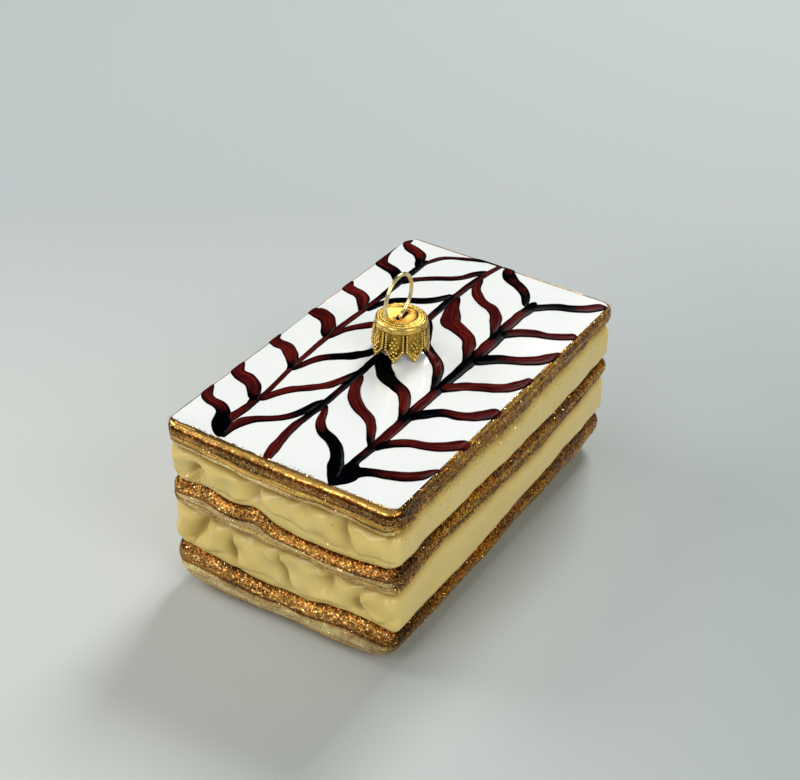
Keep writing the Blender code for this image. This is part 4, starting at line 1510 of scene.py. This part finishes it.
@dataclass(frozen=True)
class Enamel:
    """Thick white gloss enamel on the icing; the silvered gold edge shows in front of it, with a painted highlight in
    its middle.
    """

    white: Colour = (0.81, 0.83, 0.82, 1.0)
    thin: Colour = (0.67, 0.69, 0.68, 1.0)
    line: Colour = (0.16, 0.06, 0.02, 1.0)
    gold: Colour = (0.60, 0.29, 0.06, 1.0)
    # the painted highlight's colour, in the middle of the gold edge
    bright: Colour = (1.0, 0.86, 0.62, 1.0)
    # of the bare neck, dark partly as its bare glass and partly as painted shade in the slits between the cap's
    # petals
    glass: Colour = (0.16, 0.12, 0.07, 1.0)              # of the bare silvered neck
    front: float = -47.0 * MM    # where the white ends at the near end
    right: float = 27.5 * MM     # and at the right long side
    roughness: float = 0.14

    def material(self) -> bpy.types.Material:
        """Build the material: the distance inside the white's border picks enamel, line or gold."""
        bench = NodeBench("white enamel")
        axes = bench.add("ShaderNodeSeparateXYZ", Vector=bench.place)
        waver = bench.math("MULTIPLY", bench.math("SUBTRACT", bench.noise(260.0, 4.0, 0.6), 0.5), 1.3 * MM)
        ahead = bench.math("SUBTRACT", axes.outputs["Y"], self.front)
        aside = bench.math("SUBTRACT", bench.math("MULTIPLY_ADD", axes.outputs["Y"], 0.009, self.right),
                           axes.outputs["X"])
        inside = bench.math("ADD", bench.math("MINIMUM", ahead, aside), waver)
        inside = bench.math("DIVIDE", inside, MM)
        white = bench.add("ShaderNodeMapRange", Value=inside, From_Min=-0.03, From_Max=0.05).outputs[0]
        line = bench.add("ShaderNodeMapRange", Value=inside, From_Min=-0.28, From_Max=-0.16).outputs[0]
        patches = bench.ramp(bench.noise(60.0, 4.0), ((0.35, (0, 0, 0, 1)), (0.75, (1, 1, 1, 1))))
        near_edge = bench.add("ShaderNodeMapRange", Value=inside, From_Min=3.5, From_Max=0.2).outputs[0]
        thin = bench.math("MULTIPLY", patches, bench.math("MULTIPLY_ADD", near_edge, 0.5, 0.18))
        enamel = bench.mix(thin, self.white, self.thin)
        # painted highlight: the gold edge brightens towards the middle of the near end
        middle = bench.add("ShaderNodeMapRange", interpolation_type="SMOOTHSTEP",
                           Value=bench.math("ABSOLUTE", bench.math("ADD", axes.outputs["X"], 1.5 * MM)),
                           From_Min=11.0 * MM, From_Max=3.0 * MM).outputs[0]
        painted_highlight = bench.math("ADD", middle, bench.math("SUBTRACT", bench.noise(190.0, 3.0), 0.5))
        edge = bench.mix(bench.math("MULTIPLY", painted_highlight, 0.9), self.gold, self.bright)
        edge = bench.mix(line, edge, self.line)
        colour = bench.mix(white, edge, enamel)
        # the bare neck takes a dark colour: partly its bare glass, partly painted shade for the slits under the cap
        bare = bench.add("ShaderNodeMapRange", Value=bench.value("down"), From_Min=-0.7,
                         From_Max=-0.9).outputs[0]
        colour = bench.mix(bare, colour, self.glass)
        normal = bench.bump(bench.noise(110.0, 2.0), 0.0005, 0.2)
        return bench.dress(Base_Color=colour, Metallic=bench.math("MULTIPLY_ADD", white, -0.8, 0.8),
                           Roughness=self.roughness, Normal=normal, Coat_Weight=0.25, Coat_Roughness=0.08)


@dataclass(frozen=True)
class CreamPaint:
    """Satin cream paint, darkened by painted shade in its creases and grooves, with tiny pits and specks."""

    light: Colour = (0.82, 0.61, 0.175, 1.0)
    # the colour of the painted shade in the creases
    crease_shade: Colour = (0.34, 0.21, 0.03, 1.0)
    pale: Colour = (0.90, 0.71, 0.28, 1.0)
    roughness: float = 0.36

    def material(self) -> bpy.types.Material:
        """Build the material."""
        bench = NodeBench("satin cream paint")
        hollow_shade = bench.math("POWER", bench.value("hollow_shade"), 1.6)
        cloud = bench.ramp(bench.noise(70.0, 3.0), ((0.3, (0, 0, 0, 1)), (0.7, (1, 1, 1, 1))))
        colour = bench.mix(bench.math("MULTIPLY", cloud, 0.45), self.light, self.pale)
        # painted shade: the cream darkens towards its shade colour where it lies in a crease or groove
        colour = bench.mix(bench.math("MULTIPLY", hollow_shade, 0.78), colour, self.crease_shade)
        speck = bench.add("ShaderNodeTexVoronoi", Vector=bench.place, Scale=190.0).outputs["Distance"]
        dot = bench.math("LESS_THAN", speck, 0.035)
        colour = bench.mix(bench.math("MULTIPLY", dot, 0.6), colour, (0.12, 0.08, 0.03, 1.0))
        pits = bench.bump(dot, 0.0002, -0.5)
        normal = bench.bump(bench.noise(260.0, 2.0), 0.0003, 0.25, pits)
        return bench.dress(Base_Color=colour, Roughness=self.roughness, Normal=normal,
                           Coat_Weight=0.35, Coat_Roughness=0.18)


Stops = tuple[tuple[float, Colour], ...]


@dataclass(frozen=True)
class PastryLacquer:
    """Silvered glass under brown and gold lacquer in thin wavy lines, with fine glitter in it whose sparkle is partly
    painted glints.
    """

    name: str
    layer: Layer
    end_lines: Stops             # colours down the band on the ends
    side_lines: Stops            # and on the long sides
    glitter_end: Stops           # how much glitter there is, down the band
    glitter_side: Stops
    roughness: float = 0.24
    streaks_per_metre: float = 60.0
    streaks_down: float = 7.0

    def material(self) -> bpy.types.Material:
        """Build the material."""
        bench = NodeBench(self.name)
        waver = bench.math("MULTIPLY", bench.math("SUBTRACT", bench.noise(75.0, 3.0), 0.5), 0.10)
        fine = bench.math("MULTIPLY", bench.math("SUBTRACT", bench.noise(330.0, 3.0), 0.5), 0.05)
        waver = bench.math("ADD", waver, fine)
        share = bench.math("ADD", bench.math("SUBTRACT", bench.value("down"), float(self.layer.value)), waver)
        on_end = bench.value("on_end")
        away = bench.add("ShaderNodeSeparateXYZ", Vector=bench.place).outputs["Y"]
        away = bench.math("ADD", away, bench.math("MULTIPLY", bench.noise(150.0, 3.0), 12.0 * MM))
        corner = bench.add("ShaderNodeMapRange", Value=away, From_Min=-40.0 * MM, From_Max=-14.0 * MM,
                           To_Min=0.20, To_Max=1.0).outputs[0]
        upper = bench.add("ShaderNodeMapRange", Value=share, From_Min=0.66, From_Max=0.44).outputs[0]
        corner = bench.blend(upper, 1.0, corner)
        shaded = bench.add("ShaderNodeCombineColor", Red=corner, Green=corner, Blue=corner).outputs[0]
        sides = bench.mix(1.0, bench.ramp(share, self.side_lines), shaded, "MULTIPLY")
        colour = bench.mix(on_end, sides, bench.ramp(share, self.end_lines))
        amount = bench.mix(on_end, bench.ramp(share, self.glitter_side), bench.ramp(share, self.glitter_end))
        cells = bench.add("ShaderNodeTexVoronoi", Vector=bench.place, Scale=2900.0)
        parts = bench.add("ShaderNodeSeparateColor", Color=cells.outputs["Color"])
        # each glitter cell's brightness, partly the flakes' own tone and partly painted glints that go over one
        painted_sparkle = bench.ramp(parts.outputs["Red"], (
            (0.0, (0.38, 0.28, 0.22, 1)), (0.35, (0.66, 0.58, 0.5, 1)), (0.62, (0.95, 0.94, 0.9, 1)),
            (0.86, (1.3, 1.3, 1.25, 1)), (1.0, (1.8, 1.8, 1.7, 1))))
        strong_painted_sparkle = bench.ramp(parts.outputs["Red"], (
            (0.0, (0.14, 0.09, 0.05, 1)), (0.38, (0.50, 0.40, 0.28, 1)), (0.64, (1.0, 0.92, 0.8, 1)),
            (0.84, (1.9, 1.75, 1.45, 1)), (1.0, (3.4, 3.2, 2.8, 1))))
        painted_sparkle = bench.mix(on_end, strong_painted_sparkle, painted_sparkle)
        hue = bench.ramp(parts.outputs["Green"], (
            (0.0, (1.15, 0.85, 0.6, 1)), (0.4, (1.0, 1.0, 0.95, 1)), (0.88, (1.0, 0.95, 1.4, 1)),
            (0.94, (0.9, 1.25, 0.9, 1)), (1.0, (0.9, 1.25, 0.9, 1))), "CONSTANT")
        tone = bench.ramp(bench.noise(240.0, 4.0), ((0.3, (0.7, 0.66, 0.62, 1)), (0.7, (1.2, 1.2, 1.2, 1))))
        colour = bench.mix(1.0, colour, tone, "MULTIPLY")
        place = bench.add("ShaderNodeSeparateXYZ", Vector=bench.place)
        drawn_out = bench.add("ShaderNodeCombineXYZ",
                              X=bench.math("MULTIPLY", place.outputs["X"], self.streaks_per_metre),
                              Y=bench.math("MULTIPLY", place.outputs["Y"], self.streaks_per_metre),
                              Z=bench.math("MULTIPLY", share, self.streaks_down)).outputs[0]
        streak = bench.add("ShaderNodeTexNoise", Vector=drawn_out, Scale=1.0, Detail=3.0,
                           Roughness=0.55).outputs["Fac"]
        streak = bench.ramp(streak, ((0.36, (0.40, 0.31, 0.25, 1)), (0.50, (1.0, 0.97, 0.94, 1)),
                                     (0.66, (1.35, 1.3, 1.2, 1))))
        colour = bench.mix(bench.math("MULTIPLY_ADD", amount, 0.65, 0.35), colour, streak, "MULTIPLY")
        colour = bench.mix(amount, colour, bench.mix(1.0, bench.mix(1.0, colour, painted_sparkle, "MULTIPLY"), hue, "MULTIPLY"))
        turned = bench.add("ShaderNodeVectorMath", operation="SUBTRACT", I0=cells.outputs["Color"],
                           I1=(0.5, 0.5, 0.5)).outputs[0]
        sized = bench.add("ShaderNodeVectorMath", operation="SCALE", I0=turned)
        bench.feed(sized.inputs["Scale"], bench.math("MULTIPLY", amount, 0.7))
        bumpy = bench.bump(bench.noise(420.0, 3.0), 0.0004, 0.3)
        normal = bench.add("ShaderNodeVectorMath", operation="ADD", I0=bumpy, I1=sized.outputs[0]).outputs[0]
        normal = bench.add("ShaderNodeVectorMath", operation="NORMALIZE", I0=normal).outputs[0]
        rough = bench.blend(amount, self.roughness, 0.34)
        return bench.dress(Base_Color=colour, Metallic=1.0, Roughness=rough, Normal=normal)


@dataclass(frozen=True)
class FeatherPaint:
    """Thick glossy dark brown paint: maroon where thin, black where two strokes lie together, with lighter russet
    streaks that are partly brush streaks and partly painted sheen.
    """

    maroon: Colour = (0.030, 0.003, 0.004, 1.0)
    # lighter streaks along the strokes: partly brush streaks, partly painted glossy sheen
    russet_sheen: Colour = (0.15, 0.014, 0.008, 1.0)
    black: Colour = (0.0003, 0.0006, 0.0012, 1.0)

    def material(self) -> bpy.types.Material:
        """Build the material."""
        bench = NodeBench("dark feather paint")
        across, along = bench.value("across"), bench.value("along")
        spread = bench.add("ShaderNodeCombineXYZ", X=bench.math("MULTIPLY", along, 0.10),
                           Y=bench.math("MULTIPLY", across, 1.9))
        streaks = bench.add("ShaderNodeTexNoise", Vector=spread.outputs[0], Scale=1.0, Detail=3.0,
                            Roughness=0.6).outputs["Fac"]
        # the russet streaks are partly brush streaks and partly painted sheen
        body = bench.mix(bench.ramp(streaks, ((0.42, (0, 0, 0, 1)), (0.74, (1, 1, 1, 1)))),
                         self.maroon, self.russet_sheen)
        rim = bench.math("POWER", bench.math("ABSOLUTE", across), 3.5)
        patch = bench.math("MULTIPLY", bench.noise(420.0, 3.0), 0.4)
        dark = bench.math("ADD", bench.value("dark"), bench.math("MULTIPLY", rim, 0.8))
        dark = bench.math("ADD", dark, bench.math("SUBTRACT", patch, 0.2))
        shade = bench.ramp(dark, ((0.25, (0, 0, 0, 1)), (0.75, (1, 1, 1, 1))))
        colour = bench.mix(shade, body, self.black)
        normal = bench.bump(streaks, 0.0002, 0.35)
        return bench.dress(Base_Color=colour, Roughness=0.14, Specular_IOR_Level=0.008, Normal=normal)


@dataclass(frozen=True)
class FlakeFilm:
    """Metallized film of the glitter, coloured flake by flake."""

    def material(self) -> bpy.types.Material:
        """Build the material."""
        bench = NodeBench("glitter film")
        tint = bench.add("ShaderNodeAttribute", attribute_name="tint").outputs["Color"]
        return bench.dress(Base_Color=tint, Metallic=1.0, Roughness=0.22)


@dataclass(frozen=True)
class GoldMetal:
    """Lacquered gold metal, stamped or drawn; where it has beads, painted shade darkens the hollows between them."""

    name: str
    bright: Colour
    dull: Colour
    roughness: float
    grain: float                 # patches per metre of its slight dullness
    # painted shade: a darker colour between the raised beads
    hollow_shade: Colour | None = None # colour between raised beads
    dish: Colour = (0.95, 0.50, 0.08, 1.0)

    def material(self) -> bpy.types.Material:
        """Build the material."""
        bench = NodeBench(self.name)
        patch = bench.ramp(bench.noise(self.grain, 4.0), ((0.35, (0, 0, 0, 1)), (0.7, (1, 1, 1, 1))))
        colour = bench.mix(patch, self.bright, self.dull)
        if self.hollow_shade is not None:
            # painted shade: low places between the beads take the darker colour
            height = bench.add("ShaderNodeMapRange", Value=bench.value("raised"), From_Min=0.0,
                               From_Max=0.55).outputs[0]
            colour = bench.mix(height, self.hollow_shade, colour)
            colour = bench.mix(bench.math("MULTIPLY", bench.value("dish"), 0.75), colour, self.dish)
        rough = bench.blend(patch, self.roughness, self.roughness + 0.12)
        if self.hollow_shade is not None:
            rough = bench.math("ADD", rough, bench.math("MULTIPLY", bench.value("dish"), 0.22))
        return bench.dress(Base_Color=colour, Metallic=1.0, Roughness=rough)


@dataclass(frozen=True)
class StudioFloor:
    """A pale cloth whose colour carries painted light: lighter to the left, darker and bluer to the right and further
    away.
    """

    left: Colour = (0.51, 0.535, 0.52, 1.0)
    right: Colour = (0.33, 0.375, 0.38, 1.0)
    far: Colour = (0.39, 0.425, 0.43, 1.0)

    def material(self) -> bpy.types.Material:
        """Build the material."""
        bench = NodeBench("pale cloth")
        axes = bench.add("ShaderNodeSeparateXYZ", Vector=bench.place)
        across = bench.math("MULTIPLY_ADD", axes.outputs["X"], 0.85,
                            bench.math("MULTIPLY", axes.outputs["Y"], 0.52))
        share = bench.add("ShaderNodeMapRange", Value=across, From_Min=-0.05, From_Max=0.10).outputs[0]
        away = bench.math("MULTIPLY_ADD", axes.outputs["Y"], 0.85,
                          bench.math("MULTIPLY", axes.outputs["X"], -0.52))
        far = bench.add("ShaderNodeMapRange", Value=away, From_Min=0.03, From_Max=0.16).outputs[0]
        # painted light: the floor darkens and turns bluer to the right and further away
        near = bench.mix(share, self.left, self.right)
        return bench.dress(Base_Color=bench.mix(far, near, self.far), Roughness=0.75)


# --------------------------------------------------------------------------------------------
# Studio
# --------------------------------------------------------------------------------------------

@dataclass(frozen=True)
class Viewpoint:
    """Where the camera stands, by angles and a distance in metres about the point it looks at."""

    heading: float = 31.245
    elevation: float = 32.425
    roll: float = 0.954
    distance: float = 0.31576
    aim: tuple[float, float, float] = (-0.003462, 0.003817, 0.028964)
    lens: float = 62.94

    def make(self) -> bpy.types.Object:
        """Put the camera in the scene and make it the scene's own."""
        a, e, r = (math.radians(angle) for angle in (self.heading, self.elevation, self.roll))
        back = Vector((math.sin(a) * math.cos(e), -math.cos(a) * math.cos(e), math.sin(e)))
        level = Vector((math.cos(a), math.sin(a), 0.0))
        upright = back.cross(level)
        right = math.cos(r) * level + math.sin(r) * upright
        up = math.cos(r) * upright - math.sin(r) * level
        data = bpy.data.cameras.new("camera")
        data.lens = self.lens
        data.sensor_width = 36.0
        data.clip_start = 0.01
        camera = bpy.data.objects.new("camera", data)
        turn = Matrix((right, up, back)).transposed().to_4x4()
        camera.matrix_world = Matrix.Translation(Vector(self.aim) + self.distance * back) @ turn
        bpy.context.scene.collection.objects.link(camera)
        bpy.context.scene.camera = camera
        return camera


@dataclass(frozen=True)
class SoftBox:
    """A square studio lamp that looks at the middle of the slice; sizes and places in metres."""

    name: str
    place: tuple[float, float, float]
    size: float
    watts: float
    colour: tuple[float, float, float]

    def make(self) -> bpy.types.Object:
        """Put the lamp in the scene."""
        data = bpy.data.lights.new(self.name, "AREA")
        data.size = self.size
        data.energy = self.watts
        data.color = self.colour
        lamp = bpy.data.objects.new(self.name, data)
        toward = Vector((0.0, 0.0, 0.02)) - Vector(self.place)
        lamp.matrix_world = Matrix.Translation(self.place) @ toward.to_track_quat("-Z", "Y").to_matrix().to_4x4()
        bpy.context.scene.collection.objects.link(lamp)
        return lamp


@dataclass(frozen=True)
class Studio:
    """The pale floor, the soft lamps and the light from all round."""

    floor_half: float = 12.0
    ambient: Colour = (0.93, 0.96, 0.96, 1.0)
    ambient_strength: float = 0.33
    shade_toward: tuple[float, float, float] = (-0.438, 0.722, 0.536)
    shade_reach: tuple[float, float] = (0.55, 0.92)      # cosines between which a dark card begins
    lamps: tuple[SoftBox, ...] = (
        SoftBox("key", (-0.12, 0.93, 0.92), 0.42, 12.6, (1.0, 1.0, 0.99)),
        SoftBox("left", (-0.66, -0.12, 0.56), 0.42, 2.6, (1.0, 0.99, 0.96)),
        SoftBox("right", (0.95, -0.25, 0.60), 0.6, 3.9, (1.0, 0.98, 0.95)),
        SoftBox("front", (-0.10, -0.70, 0.62), 0.4, 2.0, (1.0, 0.98, 0.94)),
    )

    def make(self) -> None:
        """Build the studio: the view transform, the world's light, the floor and the lamps."""
        scene = bpy.context.scene
        scene.view_settings.view_transform = "Standard"
        world = bpy.data.worlds.new("soft light")
        scene.world = world
        world.use_nodes = True
        background = world.node_tree.nodes["Background"]
        background.inputs["Color"].default_value = self.ambient
        tree = world.node_tree
        toward = tree.nodes.new("ShaderNodeTexCoord").outputs["Generated"]
        cosine = tree.nodes.new("ShaderNodeVectorMath")
        cosine.operation = "DOT_PRODUCT"
        cosine.inputs[1].default_value = self.shade_toward
        tree.links.new(toward, cosine.inputs[0])
        card = tree.nodes.new("ShaderNodeMapRange")
        card.interpolation_type = "SMOOTHSTEP"
        card.inputs["From Min"].default_value, card.inputs["From Max"].default_value = self.shade_reach
        card.inputs["To Min"].default_value = self.ambient_strength
        card.inputs["To Max"].default_value = 0.08 * self.ambient_strength
        tree.links.new(cosine.outputs["Value"], card.inputs["Value"])
        tree.links.new(card.outputs[0], background.inputs["Strength"])
        half = self.floor_half / MM
        corners = np.array([(-half, -half, -0.02), (half, -half, -0.02), (half, half, -0.02), (-half, half, -0.02)])
        floor = Sheet(corners, np.array([[0, 1, 2, 3]])).make("floor", [StudioFloor().material()])
        for lamp in self.lamps:
            lamp.make()


# --------------------------------------------------------------------------------------------
# The ornament
# --------------------------------------------------------------------------------------------

def pastry_lacquers() -> dict[Paint, PastryLacquer]:
    """The three bands' finishes, each with its own run of thin brown and gold lines."""
    dark, brown, amber = (0.13, 0.04, 0.008, 1.0), (0.52, 0.29, 0.09, 1.0), (0.92, 0.54, 0.15, 1.0)
    gold, champagne, pale = (0.92, 0.60, 0.17, 1.0), (0.97, 0.69, 0.31, 1.0), (1.0, 0.86, 0.50, 1.0)
    toffee = (0.62, 0.38, 0.13, 1.0)
    shade, cocoa, honey = (0.09, 0.024, 0.002, 1.0), (0.36, 0.15, 0.010, 1.0), (0.68, 0.36, 0.03, 1.0)
    olive, straw = (0.78, 0.52, 0.07, 1.0), (0.94, 0.66, 0.18, 1.0)
    none, some, full = (0.0, 0.0, 0.0, 1.0), (0.28, 0.28, 0.28, 1.0), (0.95, 0.95, 0.95, 1.0)
    return {
        Paint.TOP_BAND: PastryLacquer(
            "top pastry lacquer", Layer.TOP_BAND,
            ((0.0, amber), (0.08, amber), (0.13, dark), (0.34, brown), (0.40, dark), (0.47, gold), (0.58, amber),
             (0.62, dark), (0.67, champagne), (0.78, pale), (0.88, champagne), (0.92, dark), (1.0, brown)),
            ((0.0, cocoa), (0.07, amber), (0.14, cocoa), (0.42, honey), (0.60, cocoa), (0.76, olive), (0.88, straw),
             (1.0, cocoa)),
            ((0.0, none), (0.06, none), (0.12, full), (0.42, full), (0.48, some), (1.0, some)),
            ((0.0, some), (0.1, full), (0.9, full), (1.0, some))),
        Paint.MIDDLE_BAND: PastryLacquer(
            "middle pastry lacquer", Layer.MIDDLE_BAND,
            ((0.0, dark), (0.08, brown), (0.20, toffee), (0.28, brown), (0.33, dark), (0.37, champagne), (0.48, pale),
             (0.53, brown), (0.57, gold), (0.65, pale), (0.71, brown), (0.75, champagne), (0.87, pale), (0.92, dark),
             (1.0, brown)),
            ((0.0, shade), (0.15, cocoa), (0.4, honey), (0.56, cocoa), (0.7, honey), (0.88, straw), (0.95, amber),
             (1.0, shade)),
            ((0.0, full), (0.32, full), (0.38, some), (1.0, some)),
            ((0.0, full), (1.0, full))),
        Paint.BOTTOM_BAND: PastryLacquer(
            "bottom pastry lacquer", Layer.BOTTOM_BAND,
            ((0.0, dark), (0.10, brown), (0.20, toffee), (0.28, brown), (0.33, dark), (0.39, champagne), (0.56, pale),
             (0.74, champagne), (0.88, gold), (1.0, gold)),
            ((0.0, shade), (0.2, cocoa), (0.42, honey), (0.60, olive), (0.8, straw), (1.0, champagne)),
            ((0.0, full), (0.32, full), (0.40, some), (0.72, some), (0.86, full), (1.0, full)),
            ((0.0, full), (0.6, full), (1.0, some))),
    }


@dataclass
class Ornament:
    """All pieces of the ornament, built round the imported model."""

    form: SliceForm
    skin: GlassSkin = field(init=False)
    seat: NeckSeat = field(init=False)

    def __post_init__(self) -> None:
        """Work out the shared forms."""
        self.seat = NeckSeat(self.form)
        self.skin = GlassSkin(self.form, self.seat)

    def _ready(self, thing: bpy.types.Object, slot: str, *nodes: str) -> None:
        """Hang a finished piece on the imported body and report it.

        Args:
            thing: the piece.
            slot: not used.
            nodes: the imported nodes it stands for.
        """
        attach(thing, BODY)
        if nodes:
            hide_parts(*nodes)
        LOG.info("%s: %d faces", thing.name, len(thing.data.polygons))

    def build_skin(self) -> None:
        """Make the painted glass."""
        lacquers = pastry_lacquers()
        materials = [
            Enamel().material(), lacquers[Paint.TOP_BAND].material(), CreamPaint().material(),
            lacquers[Paint.MIDDLE_BAND].material(), lacquers[Paint.BOTTOM_BAND].material()]
        self._ready(self.skin.sheet().make("painted_glass", materials), "painted_glass", "glass_body")

    def build_feathering(self) -> None:
        """Make the dark lines on the icing."""
        lines = Feathering(self.skin).sheet().make("feathered_lines", [FeatherPaint().material()])
        self._ready(lines, "painted_glass")

    def build_glitter(self) -> None:
        """Scatter the flakes, one piece for the ends and one for the long sides."""
        film = FlakeFilm().material()
        end_zones = (
            GlitterZone(Layer.TOP_BAND, 0.16, 0.42, True, 6.0),
            GlitterZone(Layer.TOP_BAND, 0.42, 0.9, True, 2.0),
            GlitterZone(Layer.UPPER_CREAM, 0.72, 1.0, True, 2.0, True),
            GlitterZone(Layer.MIDDLE_BAND, 0.0, 0.34, True, 4.5),
            GlitterZone(Layer.MIDDLE_BAND, 0.34, 0.95, True, 2.2),
            GlitterZone(Layer.LOWER_CREAM, 0.86, 1.0, True, 1.0, True),
            GlitterZone(Layer.BOTTOM_BAND, 0.0, 0.32, True, 4.5),
            GlitterZone(Layer.BOTTOM_BAND, 0.32, 0.9, True, 3.0),
        )
        side_zones = (
            GlitterZone(Layer.TOP_BAND, 0.06, 0.95, False, 4.0),
            GlitterZone(Layer.MIDDLE_BAND, 0.0, 1.0, False, 4.0),
            GlitterZone(Layer.BOTTOM_BAND, 0.0, 0.75, False, 4.0),
            GlitterZone(Layer.UPPER_CREAM, 0.0, 0.3, False, 0.9, True),
        )
        for name, zones, seed in (("end_glitter", end_zones, 3), ("side_glitter", side_zones, 4)):
            flakes = Glitter(self.skin, zones, zones is end_zones).sheet(seed).make(name, [film], smooth=False)
            self._ready(flakes, "painted_glass")

    def build_cap(self) -> None:
        """Make the stamped cap and give its sheet a wall."""
        # its last colour is the painted shade between the cap's beads
        metal = GoldMetal("gold cap metal", (0.98, 0.70, 0.20, 1.0), (0.86, 0.54, 0.11, 1.0), 0.2, 700.0,
                          (0.40, 0.24, 0.035, 1.0))
        cap_form = StampedCap(self.seat)
        cap = cap_form.sheet().make("stamped_cap", [metal.material()])
        wall = cap.modifiers.new("wall", "SOLIDIFY")
        wall.thickness = cap_form.wall * MM
        wall.offset = -1.0
        self._ready(cap, "cap_metal", "cap")

    def build_loop(self) -> None:
        """Make the wire loop."""
        metal = GoldMetal("pale gold wire", (0.93, 0.80, 0.45, 1.0), (0.84, 0.66, 0.30, 1.0), 0.16, 900.0)
        self._ready(HangerLoop(self.seat).sheet().make("wire_loop", [metal.material()]), "wire", "hanger_loop")


def main() -> None:
    """Load the frame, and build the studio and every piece."""
    logging.basicConfig(level=logging.INFO, format="%(name)s: %(message)s")
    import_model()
    low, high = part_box("glass_body")
    taper = SliceForm(1.0, 1.0)
    width = (high[0] - low[0]) / MM / (1.0 + taper.width_taper)
    length = (high[1] - low[1]) / MM / (1.0 - taper.length_taper)
    Viewpoint().make()
    Studio().make()
    ornament = Ornament(SliceForm(width, length))
    ornament.build_skin()
    ornament.build_feathering()
    ornament.build_glitter()
    ornament.build_cap()
    ornament.build_loop()


if __name__ == "__main__":
    main()
